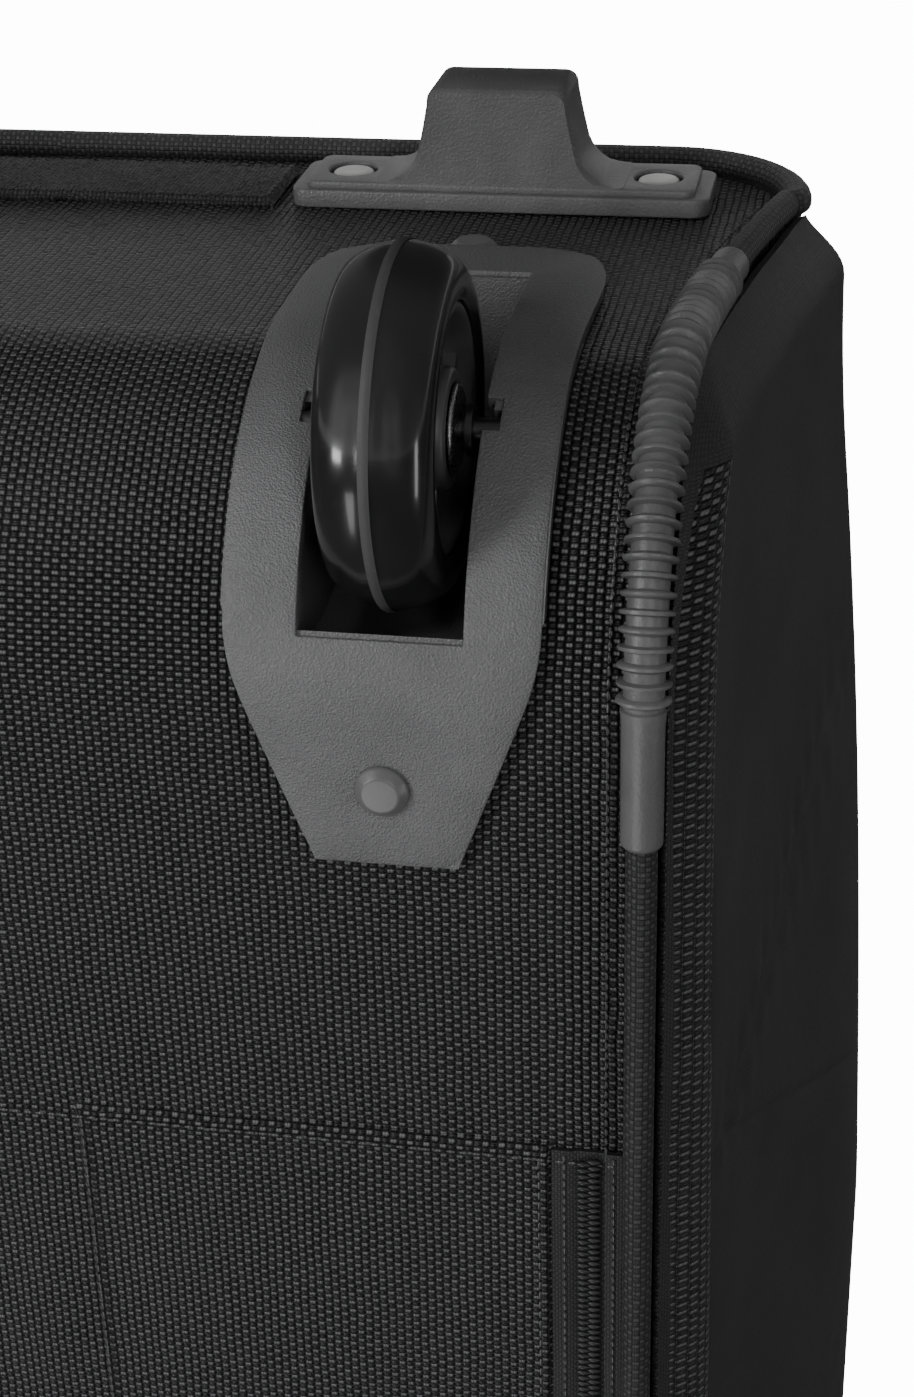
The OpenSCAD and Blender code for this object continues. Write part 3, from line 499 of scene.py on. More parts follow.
def metal_material(name, colour, roughness, metallic=1.0, grain=1500.0):
    material, tree, shader, coords = start_surface(name, roughness, metallic)
    scratches = noise_node(tree, coords.outputs["Object"], grain, 4, 0.7)
    cloud = noise_node(tree, coords.outputs["Object"], 60, 4, 0.6)
    darker = tuple(c * 0.7 for c in colour[:3]) + (1,)
    tree.links.new(
        mix_colour(tree, range_node(tree, cloud, 0.35, 0.65), darker, colour), shader.inputs["Base Color"]
    )
    tree.links.new(
        range_node(tree, scratches, 0.3, 0.7, roughness - 0.08, roughness + 0.12),
        shader.inputs["Roughness"],
    )
    add_bump(tree, shader, scratches, 0.25, 0.00005)
    return material


# Each woven finish gives the cloth's own dark colour, then the pale colour of its painted highlight on the
# top bundles.
MATERIALS = {
    "sleeve": woven_material(
        "sleeve_cloth", (0.012, 0.012, 0.013, 1), (0.05, 0.05, 0.052, 1), 0.0012, 0.0012, 0.0002, 2.0
    ),
    "fine_tape": woven_material(
        "fine_tape", (0.008, 0.008, 0.009, 1), (0.03, 0.03, 0.032, 1), 0.0007, 0.0007, 0.00008, 1.0
    ),
    "ballistic": woven_material(
        "ballistic_cloth", (0.004, 0.004, 0.0043, 1), (0.1, 0.1, 0.104, 1), 0.0019, 0.00125, 0.0007,
        dust=0.04, roughness=0.3,
    ),
    "fine_cloth": woven_material(
        "fine_cloth", (0.008, 0.008, 0.0085, 1), (0.024, 0.024, 0.0252, 1), 0.0006, 0.0006, 0.00008, 1.0,
        dust=0.06, wander=0.05,
    ),
    "piping": woven_material(
        "piping_cloth", (0.009, 0.009, 0.01, 1), (0.04, 0.04, 0.042, 1), 0.0013, 0.0013, 0.0002, 2.0
    ),
    "guard": plastic_material("guard_plastic", (0.1, 0.1, 0.102, 1), 0.36, 1500, 0.0001, 0.05),
    "board": plastic_material("stiff_board", (0.11, 0.11, 0.11, 1), 0.6),
    "frame_rod": plastic_material("frame_rod", (0.42, 0.33, 0.2, 1), 0.45),
    "lining": woven_material(
        "lining_cloth", (0.06, 0.06, 0.065, 1), (0.11, 0.11, 0.115, 1), 0.0004, 0.0004, 0.00004, 1.0, False
    ),
    "housing": plastic_material("housing_plastic", (0.115, 0.115, 0.118, 1), 0.4, 2000, 0.0004, 0.03),
    "dark_rivet": plastic_material("dark_rivet", (0.12, 0.12, 0.122, 1), 0.33, 1200, 0.00003, 0.1),
    "axle": metal_material("dark_steel", (0.1, 0.1, 0.1, 1), 0.36),
    "tyre": plastic_material("tyre_rubber", (0.01, 0.01, 0.0105, 1), 0.2, 500, 0.00001, 0.03, 0.6),
    "hub": plastic_material("hub_plastic", (0.06, 0.06, 0.062, 1), 0.34, 900, 0.00005),
    "bearing": metal_material("bearing_steel", (0.6, 0.6, 0.61, 1), 0.25),
    "foot": plastic_material("foot_plastic", (0.11, 0.11, 0.112, 1), 0.4, 1600, 0.0002, 0.06),
    "light_rivet": metal_material("rivet_metal", (0.6, 0.6, 0.59, 1), 0.4, 0.4),
    "loop_strip": woven_material(
        "loop_pile", (0.008, 0.008, 0.009, 1), (0.035, 0.035, 0.037, 1), 0.0011, 0.0011, 0.0004, 3.0
    ),
    "tube": metal_material("tube_aluminium", (0.55, 0.55, 0.57, 1), 0.3),
    "black_plastic": plastic_material("black_plastic", (0.02, 0.02, 0.021, 1), 0.42),
    "button": plastic_material("button_plastic", (0.16, 0.16, 0.165, 1), 0.35),
    "webbing": woven_material(
        "webbing", (0.01, 0.01, 0.011, 1), (0.04, 0.04, 0.042, 1), 0.002, 0.0012, 0.0003, 2.0, False
    ),
    "zip_tape": woven_material(
        "zip_tape", (0.008, 0.008, 0.009, 1), (0.03, 0.03, 0.032, 1), 0.0005, 0.0008, 0.0001, 1.0, False
    ),
    "zip_metal": metal_material("dark_zip_metal", (0.2, 0.2, 0.205, 1), 0.35),
}

for part in frame["record"]["subparts"]:
    mesh = nodes[part["node"]].data
    mesh.materials.clear()
    mesh.materials.append(MATERIALS[part["material_slot"]])

# ---------------------------------------------------------------- making pieces


def deselect():
    for obj in bpy.context.selected_objects:
        obj.select_set(False)


def activate(obj):
    deselect()
    obj.select_set(True)
    bpy.context.view_layer.objects.active = obj
    return obj


def apply_modifier(obj, kind, **values):
    activate(obj)
    modifier = obj.modifiers.new(kind.lower(), kind)
    for name, value in values.items():
        setattr(modifier, name, value)
    bpy.ops.object.modifier_apply(modifier=modifier.name)


def edit(obj, *steps):
    """Runs mesh operators on the whole piece in edit mode, each given as (operator, its values)."""
    activate(obj)
    bpy.ops.object.mode_set(mode="EDIT")
    bpy.ops.mesh.select_all(action="SELECT")
    for operator, values in steps:
        operator(**values)
    bpy.ops.object.mode_set(mode="OBJECT")


FLIP = (bpy.ops.mesh.flip_normals, {})
OUTWARD = (bpy.ops.mesh.normals_make_consistent, {"inside": False})
WELD = 0.02 * MM


def merge_doubles(reach):
    """The step for edit that joins points closer than reach."""
    return (bpy.ops.mesh.remove_doubles, {"threshold": reach})


def cut_away(obj, unwanted):
    """Removes the faces for which unwanted(face) is true."""
    mesh = obj.data
    for item in list(mesh.vertices) + list(mesh.edges):
        item.select = False
    for face in mesh.polygons:
        face.select = bool(unwanted(face))
    activate(obj)
    bpy.ops.object.mode_set(mode="EDIT")
    bpy.ops.mesh.select_mode(type="FACE")
    bpy.ops.mesh.delete(type="FACE")
    bpy.ops.object.mode_set(mode="OBJECT")


def settle(obj, name, body, slot, replaced=(), material=None, smooth=35):
    """Fixes the piece's place in its mesh, gives it its finish, and lets it ride on its body."""
    activate(obj)
    bpy.ops.object.transform_apply(location=True, rotation=True, scale=True)
    if smooth:
        bpy.ops.object.shade_smooth_by_angle(angle=math.radians(smooth))
    obj.name = name
    obj.data.name = name
    obj.data.materials.clear()
    obj.data.materials.append(material or MATERIALS[slot])
    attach(obj, body)
    if replaced:
        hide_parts(*replaced)
    return obj


def sheet_from_grid(across, along, place, flat=None, closed=False):
    """A grid whose points go to place(u, v), u and v from 0 to 1. flat(u, v) is its cloth map in metres."""
    deselect()
    bpy.ops.mesh.primitive_grid_add(x_subdivisions=across, y_subdivisions=along, size=2)
    obj = bpy.context.object
    mesh = obj.data
    at = [((v.co.x + 1) / 2, (v.co.y + 1) / 2) for v in mesh.vertices]
    for vertex, (u, v) in zip(mesh.vertices, at):
        vertex.co = place(u, v)
    if flat:
        layer = mesh.uv_layers.active.data
        for loop in mesh.loops:
            layer[loop.index].uv = flat(*at[loop.vertex_index])
    if closed:
        edit(obj, merge_doubles(WELD), OUTWARD)
    return obj


def box_map(obj):
    """Lays the cloth map straight onto each face along the axis it looks along most."""
    mesh = obj.data
    layer = mesh.uv_layers.active or mesh.uv_layers.new(name="UVMap")
    pick = {0: (1, 2), 1: (0, 2), 2: (0, 1)}
    for face in mesh.polygons:
        a, b = pick[max(range(3), key=lambda k: abs(face.normal[k]))]
        for k in face.loop_indices:
            co = mesh.vertices[mesh.loops[k].vertex_index].co
            layer.data[k].uv = (co[a], co[b])


def smooth_path(points, step):
    """The same path in even steps."""
    out = [points[0].copy()]
    need = step
    for a, b in zip(points, points[1:]):
        length = (b - a).length
        while length >= need:
            a = a + (b - a) * (need / length)
            out.append(a.copy())
            length = (b - a).length
            need = step
        need -= length
    if (out[-1] - points[-1]).length > step * 0.3:
        out.append(points[-1].copy())
    return out


def path_frames(points, up):
    """(point, forward, out, side) along a path. up is the outward direction, or a function of the point."""
    frames = []
    for i, p in enumerate(points):
        forward = (points[min(i + 1, len(points) - 1)] - points[max(i - 1, 0)]).normalized()
        out = Vector(up(p) if callable(up) else up)
        side = forward.cross(out).normalized()
        frames.append((p, forward, side.cross(forward).normalized(), side))
    return frames


def tube_along(points, up, radius, around=16):
    """A cord of cloth along a path. radius is a number or a function of the distance along it."""
    frames = path_frames(points, up)
    far = [0.0]
    for a, b in zip(points, points[1:]):
        far.append(far[-1] + (b - a).length)
    last = len(points) - 1

    def at(v):
        k = min(int(v * last + 0.5), last)
        return k, (radius(far[k]) if callable(radius) else radius)

    def place(u, v):
        k, r = at(v)
        p, _, out, side = frames[k]
        a = 2 * math.pi * u
        return p + (out * math.cos(a) + side * math.sin(a)) * r

    mean = radius(0) if callable(radius) else radius
    return sheet_from_grid(around, last, place, lambda u, v: (u * 2 * math.pi * mean, far[at(v)[0]]), True)


def copies(seed, places):
    """One mesh with a copy of the seed at each 4x4 place. The seed is removed."""
    verts = [v.co.copy() for v in seed.data.vertices]
    faces = [tuple(p.vertices) for p in seed.data.polygons]
    all_verts, all_faces = [], []
    for matrix in places:
        base = len(all_verts)
        all_verts.extend(matrix @ v for v in verts)
        all_faces.extend(tuple(base + i for i in f) for f in faces)
    mesh = bpy.data.meshes.new(seed.name)
    mesh.from_pydata(all_verts, [], all_faces)
    bpy.data.objects.remove(seed)
    obj = bpy.data.objects.new(mesh.name, mesh)
    bpy.context.scene.collection.objects.link(obj)
    return obj


def seated(frame_at, lift=0.0, shift=0.0):
    """The 4x4 place of a small shape that lies along a path."""
    p, forward, out, side = frame_at
    m = Matrix((forward, side, out)).transposed().to_4x4()
    m.translation = p + out * lift + side * shift
    return m


def stitch_seed(length, thick):
    """One stitch of thread, lying along X."""
    deselect()
    bpy.ops.mesh.primitive_uv_sphere_add(segments=6, ring_count=5, radius=1)
    seed = bpy.context.object
    quarter_turn = {"value": math.pi / 2, "orient_axis": "Y", "center_override": (0, 0, 0)}
    size = {"value": (length / 2, thick / 2, thick / 2.6)}
    edit(seed, (bpy.ops.transform.rotate, quarter_turn), (bpy.ops.transform.resize, size))
    return seed


STITCHES = {}


def stitch(paths, up, body, pitch=2.9, rows=(0.0,), lift=0.25):
    """Keeps rows of thread to be sewn along each path. All of one body's stitches become one piece."""
    for path in paths:
        frames = path_frames(smooth_path([Vector(p) for p in path], pitch * MM), up)
        for row in rows:
            STITCHES.setdefault(body, []).extend(seated(f, lift * MM, row * MM) for f in frames)


def sew():
    """Makes all the stitches that were kept, one piece for each body."""
    # The thread's second colour is the painted highlight on its top bundles.
    thread = woven_material(
        "thread", (0.035, 0.035, 0.036, 1), (0.11, 0.11, 0.112, 1), 0.0004, 0.0004, 0.00003, 1.0, False,
        0.0, 0.5,
    )
    for body, places in STITCHES.items():
        settle(
            copies(stitch_seed(0.0023, 0.00085), places), "stitching_" + body, body, "piping",
            material=thread, smooth=60,
        )


def zip_tooth(width, thick):
    """One turn of a zip's coil: a short bar with a head that hooks into the other row."""
    deselect()
    bpy.ops.mesh.primitive_uv_sphere_add(segments=8, ring_count=4, radius=1)
    seed = bpy.context.object
    edit(seed, (bpy.ops.transform.resize, {"value": (thick * 0.5, width / 2, thick * 0.55)}))
    return seed


def coil_zip(name, path, up, body, replaced=(), pitch=1.9, width=5.6, thick=1.5, lift=0.9):
    """Two rows of coil side by side, each turn half a pitch from its neighbour."""
    points = smooth_path([Vector(p) for p in path], pitch * MM / 2)
    frames = path_frames(points, up)
    places = [seated(f, lift * MM, (1 if i % 2 else -1) * width * 0.2 * MM) for i, f in enumerate(frames)]
    obj = copies(zip_tooth(width * 0.62 * MM, thick * MM), places)
    settle(obj, name, body, "zip_tape", replaced, material=COIL, smooth=60)
    return obj


COIL = plastic_material("coil", (0.014, 0.014, 0.015, 1), 0.3, 1500, 0.00002, 0.05)

# ---------------------------------------------------------------- the case's surfaces

PROFILE_END = BEND_Z - BEND_R * math.pi / 2 - (BEND_Y - FRONT_Y)


BACKWARD = (0, 1, 0)
FORWARD = (0, -1, 0)
DOWNWARD = (0, 0, -1)
SIDES = ((1, "right"), (-1, "left"))


def wrap(x, s, t=0.0):
    """A point on the back and bottom. s is the height up the back, and runs on round the bend."""
    if s >= BEND_Z:
        return Vector((x, BACK_Y + t, s))
    turn = (BEND_Z - s) / BEND_R
    if turn <= math.pi / 2:
        return Vector((x, BEND_Y + (BEND_R + t) * math.cos(turn), BEND_Z - (BEND_R + t) * math.sin(turn)))
    return Vector((x, BEND_Y - (turn - math.pi / 2) * BEND_R, BOTTOM_Z - t))


def wrap_out(p):
    """Outward direction of the back and bottom at a point."""
    if p.z >= BEND_Z:
        return Vector((0, 1, 0))
    if p.y <= BEND_Y:
        return Vector((0, 0, -1))
    return Vector((0, p.y - BEND_Y, p.z - BEND_Z)).normalized()


def s_at_depth(d):
    """s of a point on the bottom, d in from the back face."""
    return BEND_Z - BEND_R * math.pi / 2 - (d - BEND_R)


def half_width(s):
    """Half the panel's width, rounded in at the top and at the front of the bottom."""
    over = s - (TOP_Z - CORNER_R)
    if over > 0:
        return SIDE_X - CORNER_R + math.sqrt(max(0, CORNER_R**2 - over**2))
    side = SIDE_X + flare(BACK_Y - wrap(0, s).y)
    over = (PROFILE_END + CORNER_R) - s
    if over > 0:
        return side - CORNER_R + math.sqrt(max(0, CORNER_R**2 - over**2))
    return side


FLARE = 19 * MM
FLARE_START = 20 * MM
FLARE_RUN = 145 * MM


def flare(depth):
    """The case is a little wider towards its front, so its lower edges drift outward by this much."""
    part = max(0.0, min(1.0, (depth - FLARE_START) / FLARE_RUN))
    return FLARE * part ** 2


def ripple(p, size, height):
    """Gentle unevenness of cloth, with waves about as long as size."""
    return noise.noise(Vector((p.x / size, p.y / size, p.z / size))) * height


SEAM_Z = low("back_pockets").z
POCKET_IN = min(abs(v.co.x) for v in nodes["back_pockets"].data.vertices)
BACK_ZIP_X = (max(v.co.x for v in nodes["back_zips"].data.vertices) + 1.5 * MM + SIDE_X - 21.5 * MM) / 2
WELL_HALF = 24 * MM
WELL_FRONT = s_at_depth(94 * MM)
WELL_TOP = AXLE_Z + 36 * MM


def make_back_panel():
    """The coarse cloth that covers the back and runs round the bend under the case."""
    def lift(x, s):
        edge = half_width(s) - abs(x)
        crown = math.sin(math.pi * min(1, max(0, (s - PROFILE_END) / 0.9)))
        puff = 1.4 * MM * min(1, max(0, edge / (30 * MM))) * crown
        seam = abs(s - SEAM_Z)
        fold = -0.9 * MM * math.exp(-((seam / (1.6 * MM)) ** 2))
        near_seam = math.exp(-max(0.0, SEAM_Z - s) / (45 * MM)) * min(1, max(0, edge / (25 * MM)))
        slack = near_seam * noise.noise(Vector((x / 0.016, s / 0.06, 1.0))) * 1.3 * MM
        return puff + fold + slack + ripple(Vector((x, s, 0)), 0.07, 0.7 * MM) - 0.4 * MM

    def place(u, v):
        s = PROFILE_END + v * (TOP_Z - PROFILE_END)
        x = (2 * u - 1) * half_width(s)
        return wrap(-x, s, lift(x, s))

    def flat(u, v):
        s = PROFILE_END + v * (TOP_Z - PROFILE_END)
        return (-(2 * u - 1) * half_width(s), s)

    obj = sheet_from_grid(180, 250, place, flat)
    uv = obj.data.uv_layers.active.data

    def over_well(face):
        mid = sum((uv[k].uv for k in face.loop_indices), Vector((0, 0))) / len(face.loop_indices)
        return abs(abs(mid.x) - WHEEL_X) < WELL_HALF and WELL_FRONT < mid.y < WELL_TOP

    cut_away(obj, over_well)
    apply_modifier(obj, "SOLIDIFY", thickness=2.2 * MM, offset=-1)
    settle(obj, "back_and_bottom_cloth", "case", "ballistic", ["back_bottom_panel"])
    seam = [wrap(x * MM, SEAM_Z, 1.2 * MM) for x in range(-int(SIDE_X / MM) + 4, int(SIDE_X / MM) - 3, 6)]
    stitch([seam], wrap_out, "case", rows=(4.2,), lift=0.1)


def fold_lines(x, z):
    """Long soft folds that run slantwise across loose cloth."""
    slant = Vector((x * 0.9 + z * 0.5, (z - x * 0.8) * 0.25, 2.0))
    return noise.noise(slant / 0.022) * 0.9 * MM + noise.noise(slant / 0.05) * 1.5 * MM


def make_back_pockets():
    """Flat pockets on the back above the seam, each with a sewn edge and a coil zip by the side edge."""
    z_low, z_high = SEAM_Z, high("back_pockets").z
    x_in, x_out = POCKET_IN, BACK_ZIP_X - 8.6 * MM
    for s, name in SIDES:
        def place(u, v):
            x = x_in + u * (x_out - x_in)
            z = z_low + v * (z_high - z_low)
            edge = min(x - x_in, x_out - x, z - z_low, z_high - z)
            hem = 1.6 * MM * max(0, 1 - edge / (1.5 * MM)) ** 2
            puff = 2.0 * MM + 1.0 * MM * min(1, edge / (18 * MM)) - hem
            slack = min(1, edge / (12 * MM)) * fold_lines(x * s, z)
            return Vector((s * x, BACK_Y + puff + slack, z))
        obj = sheet_from_grid(
            90, 160, place, lambda u, v: (s * (x_in + u * (x_out - x_in)), z_low + v * (z_high - z_low))
        )
        if s > 0:
            edit(obj, FLIP)
        apply_modifier(obj, "SOLIDIFY", thickness=1.6 * MM, offset=-1)
        settle(obj, "back_pocket_" + name, "case", "ballistic", ["back_pockets"] if s > 0 else [])
        for x in (x_in + 2.2 * MM, x_out - 2.4 * MM):
            start = Vector((s * x, BACK_Y + 3.1 * MM, z_low + 4 * MM))
            stop = Vector((s * x, BACK_Y + 3.1 * MM, z_high - 3 * MM))
            stitch([[start, stop]], BACKWARD, "case")
        start = Vector((s * (x_in + 2 * MM), BACK_Y + 3.0 * MM, z_low + 2.6 * MM))
        stop = Vector((s * (x_out - 2 * MM), BACK_Y + 3.0 * MM, z_low + 2.6 * MM))
        stitch([[start, stop]], BACKWARD, "case")

        zip_x = s * BACK_ZIP_X
        def tape(u, v):
            x = (u - 0.5) * 17 * MM
            z = z_low + 1 * MM + v * (z_high - z_low)
            lift = 1.3 * MM - 0.5 * MM * (abs(u - 0.5) < 0.22)
            return Vector((zip_x + x, BACK_Y + lift, z))
        obj = sheet_from_grid(16, 60, tape, lambda u, v: (u * 0.017, v * (z_high - z_low)))
        edit(obj, FLIP)
        apply_modifier(obj, "SOLIDIFY", thickness=1.0 * MM, offset=-1)
        settle(
            obj, "back_zip_tape_" + name, "case", "zip_tape", ["back_zips"] if s > 0 else [],
            material=MATERIALS["fine_tape"],
        )
        run = [
            Vector((zip_x, BACK_Y + 0.9 * MM, z_low + 3 * MM)),
            Vector((zip_x, BACK_Y + 0.9 * MM, z_high - 2 * MM)),
        ]
        coil_zip("back_zip_coil_" + name, run, BACKWARD, "case", pitch=1.7, width=6.0)
        for row in (-5.6, 5.6):
            stitch([[p + Vector((row * MM, 0.4 * MM, 0)) for p in run]], BACKWARD, "case", pitch=2.4)


def soft_step(value, start, stop):
    """Rises smoothly from 0 at start to 1 at stop."""
    part = max(0.0, min(1.0, (value - start) / (stop - start)))
    return part * part * (3 - 2 * part)


def edge_depth(z):
    """Where the side's back edge is at a height: straight down the back, then forward round the bend."""
    if z >= BEND_Z:
        return BACK_Y
    return BEND_Y + math.sqrt(max(0, BEND_R**2 - (BEND_Z - z) ** 2))


ZIP_SWELL = 43 * MM
EDGE_ROLL = 8 * MM
EDGE_ROLL_DEPTH = 13 * MM
STRAP_LOW, STRAP_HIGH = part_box("side_handle_caps")
STRAP_Y = (STRAP_LOW.y + STRAP_HIGH.y) / 2
STRAP_Z = (STRAP_LOW.z + STRAP_HIGH.z) / 2
HANDLE_SWELL = -STRAP_HIGH.x - SIDE_X - 0.6 * MM


def side_swell(s, y, z):
    """How far a side stands out. It grows from the back edge to the zip, less where the side handle is."""
    depth = max(0.0, min(1.0, (BACK_Y - y) / (BACK_Y - ZIP_Y)))
    rolled = math.sin(math.pi / 2 * max(0.0, min(1.0, (edge_depth(z) - y) / EDGE_ROLL_DEPTH)))
    grown = 0.75 * math.sin(math.pi / 2 * depth) + 0.25 * depth
    lifted = soft_step(z, BOTTOM_Z - 1 * MM, BOTTOM_Z + 14 * MM)
    filled = 0.06 * lifted + 0.94 * soft_step(z, BOTTOM_Z + 10 * MM, BOTTOM_Z + 300 * MM)
    top_part = math.sin(math.pi / 2 * min(1, max(0, (TOP_Z - CORNER_R * 0.4 - z) / 0.15))) ** 0.8
    swell = (EDGE_ROLL * rolled * lifted + (ZIP_SWELL - EDGE_ROLL) * grown * filled) * top_part
    if s < 0:
        beside = soft_step(-abs(y - STRAP_Y), -52 * MM, -25 * MM)
        held = beside * soft_step(-abs(z - STRAP_Z), -150 * MM, -98 * MM)
        swell -= max(0.0, swell - HANDLE_SWELL) * held
    return swell


def side_point(s, y, z, t=0.0):
    """A point on a side's cloth, t outside it. s is 1 on the right and -1 on the left."""
    near_bottom = 1 - soft_step(z, BEND_Z, BEND_Z + 220 * MM)
    x = SIDE_X + flare(BACK_Y - y) * near_bottom + side_swell(s, y, z) + t
    return Vector((s * x, y, z))


SEAM_START = 12 * MM
SEAM_RUN = 117 * MM
SEAM_TOP = BOTTOM_Z + 181 * MM
SEAM_DROP = 60 * MM
UPPER_SEAM_START = BOTTOM_Z + 166 * MM
UPPER_SEAM_SLOPE = 0.5


def seam_height(depth):
    """Height of the side's curved seam at a depth in from the back."""
    part = max(0.0, (depth - SEAM_START) / SEAM_RUN)
    return SEAM_TOP - SEAM_DROP * part ** 1.1


def upper_seam_height(depth):
    """Height of the side's second seam, which rises towards the front."""
    return UPPER_SEAM_START + depth * UPPER_SEAM_SLOPE


def make_sides():
    """The gusset is one band of fine cloth from the bottom, up one side, over the top and down the other;
    this makes its two sides, each up to the top's rounded corner, with their seams and edge strips.
    """
    for s, name in SIDES:
        z_top = TOP_Z - CORNER_R

        def start_y(z):
            return edge_depth(z) - 1 * MM

        def place(u, v):
            z = BOTTOM_Z + 1 * MM + v * (z_top - BOTTOM_Z - 1 * MM)
            y = start_y(z) + u * (ZIP_Y + 1.2 * MM - start_y(z))
            fade = min(1, u * 9) * min(1, (1 - u) * 6)
            off = (z - seam_height(BACK_Y - y)) / MM
            seam = 0.8 * soft_step(off, -2.5, 2.5) - 0.9 * math.exp(-((off - 0.6) / 2.4) ** 2)
            level = (z - upper_seam_height(BACK_Y - y)) / MM
            beside = soft_step(off, 1.0, 5.0)
            seam += (0.6 * soft_step(-level, -2.5, 2.5) - 0.8 * math.exp(-(level / 2.2) ** 2)) * beside
            pucker = 0.3 * MM * math.exp(-(off / 14) ** 2) * math.sin(y / MM * 0.55)
            broad = ripple(Vector((s * 9, y * 0.6, z)), 0.07, 2.2 * MM)
            soft = broad + ripple(Vector((s * 3, y, z)), 0.02, 0.4 * MM)
            return side_point(s, y, z, (soft + pucker + seam * MM) * fade)

        obj = sheet_from_grid(110, 420, place)
        if s < 0:
            edit(obj, FLIP)
        box_map(obj)
        apply_modifier(obj, "SOLIDIFY", thickness=3 * MM, offset=-1)
        settle(obj, "side_cloth_" + name, "case", "fine_cloth", ["side_panel_" + name])
        # A seam sweeps across each side from the edge to the zip, sewn twice, and another rises above it.
        sweep = [side_point(s, BACK_Y - d * MM, seam_height(d * MM), 0.8 * MM) for d in range(13, 152, 3)]
        stitch([sweep], (s, 0, 0), "case", rows=(-2.4, 2.4), lift=0.3)
        level = [
            side_point(s, BACK_Y - d * MM, upper_seam_height(d * MM), 0.8 * MM) for d in range(13, 152, 3)
        ]
        stitch([level], (s, 0, 0), "case", rows=(2.2,), lift=0.3)
        edge = [
            side_point(s, start_y(z * MM) - 11 * MM, z * MM, 0.4 * MM)
            for z in range(int(BOTTOM_Z / MM) + 26, int(z_top / MM) - 4, 5)
        ]
        stitch([edge], (s, 0, 0), "case", rows=(0,), lift=0.3)

        def strip(u, v):
            z = BOTTOM_Z + 14 * MM + v * (z_top - BOTTOM_Z - 20 * MM)
            y = start_y(z) + 2.4 * MM - u * 13.4 * MM
            return side_point(s, y, z, 1.8 * MM - 1.2 * MM * (u > 0.93) + 1.5 * MM * math.sin(math.pi * u))
        obj = sheet_from_grid(14, 190, strip, lambda u, v: (u * 0.0125, v * 0.56))
        if s < 0:
            edit(obj, FLIP)
        apply_modifier(obj, "SOLIDIFY", thickness=1.2 * MM, offset=-1)
        settle(obj, "edge_strip_" + name, "case", "ballistic")


def make_top():
    """The gusset over the top, with its rounded ends."""
    reach = SIDE_X - CORNER_R

    def outline(a):
        """a runs over the top from one side to the other."""
        arc = CORNER_R * math.pi / 2
        total = 2 * reach + 2 * arc
        d = a * total
        if d < arc:
            turn = d / CORNER_R
            x = -reach - CORNER_R * math.cos(turn)
            return Vector((x, 0, TOP_Z - CORNER_R + CORNER_R * math.sin(turn)))
        if d < arc + 2 * reach:
            return Vector((-reach + d - arc, 0, TOP_Z))
        turn = (d - arc - 2 * reach) / CORNER_R
        return Vector((reach + CORNER_R * math.sin(turn), 0, TOP_Z - CORNER_R + CORNER_R * math.cos(turn)))

    tray_low, tray_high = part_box("handle_tray")

    def place(u, v):
        y = BACK_Y - 1 * MM + v * (ZIP_Y + 1.2 * MM - BACK_Y + 1 * MM)
        p = outline(u)
        side = side_swell(1 if p.x > 0 else -1, y, TOP_Z - CORNER_R)
        fade = max(0, 1 - (p.z - TOP_Z + CORNER_R) / CORNER_R)
        p.x += math.copysign(side * fade, p.x) if abs(p.x) > reach else 0
        p.y = y
        return p

    def over_tray(face):
        inside = all(tray_low[k] + 5 * MM < face.center[k] < tray_high[k] - 5 * MM for k in (0, 1))
        return inside and face.center.z > TOP_Z - 2 * MM

    def top_out(p):
        if abs(p.x) > reach + 5 * MM:
            return Vector((p.x, 0, 0.05))
        return Vector((0, 0, 1))

    obj = sheet_from_grid(170, 80, place)
    cut_away(obj, over_tray)
    box_map(obj)
    apply_modifier(obj, "SOLIDIFY", thickness=2.6 * MM, offset=-1)
    settle(obj, "top_cloth", "case", "fine_cloth", ["top_panel"])
    for y in (BACK_Y - 6 * MM, ZIP_Y + 15 * MM):
        line = [outline(i / 60) + Vector((0, y, 0.4 * MM)) for i in range(8, 53)]
        stitch([line], top_out, "case", rows=(0,))


def front_loop(z, a, grow=0.0):
    """A point on the plan outline in front of the zip at height z. a runs from the left edge to the right."""
    swell = side_swell(1, ZIP_Y, z)
    half = side_point(1, ZIP_Y, z, grow).x
    r = CORNER_R + swell * 0.5
    leg = max(1 * MM, ZIP_Y - 1 * MM - (FRONT_Y + r))
    bend = r * math.pi / 2
    flat_run = 2 * (half - r)
    d = a * (2 * leg + 2 * bend + flat_run)
    if d < leg:
        return Vector((-half, ZIP_Y - 1 * MM - d, z))
    d -= leg
    if d < bend:
        return Vector((-half + r - r * math.cos(d / r), FRONT_Y - grow + r - r * math.sin(d / r), z))
    d -= bend
    if d < flat_run:
        return Vector((-half + r + d, FRONT_Y - grow, z))
    d -= flat_run
    if d < bend:
        return Vector((half - r + r * math.sin(d / r), FRONT_Y - grow + r - r * math.cos(d / r), z))
    d -= bend
    return Vector((half, FRONT_Y - grow + r + d, z))


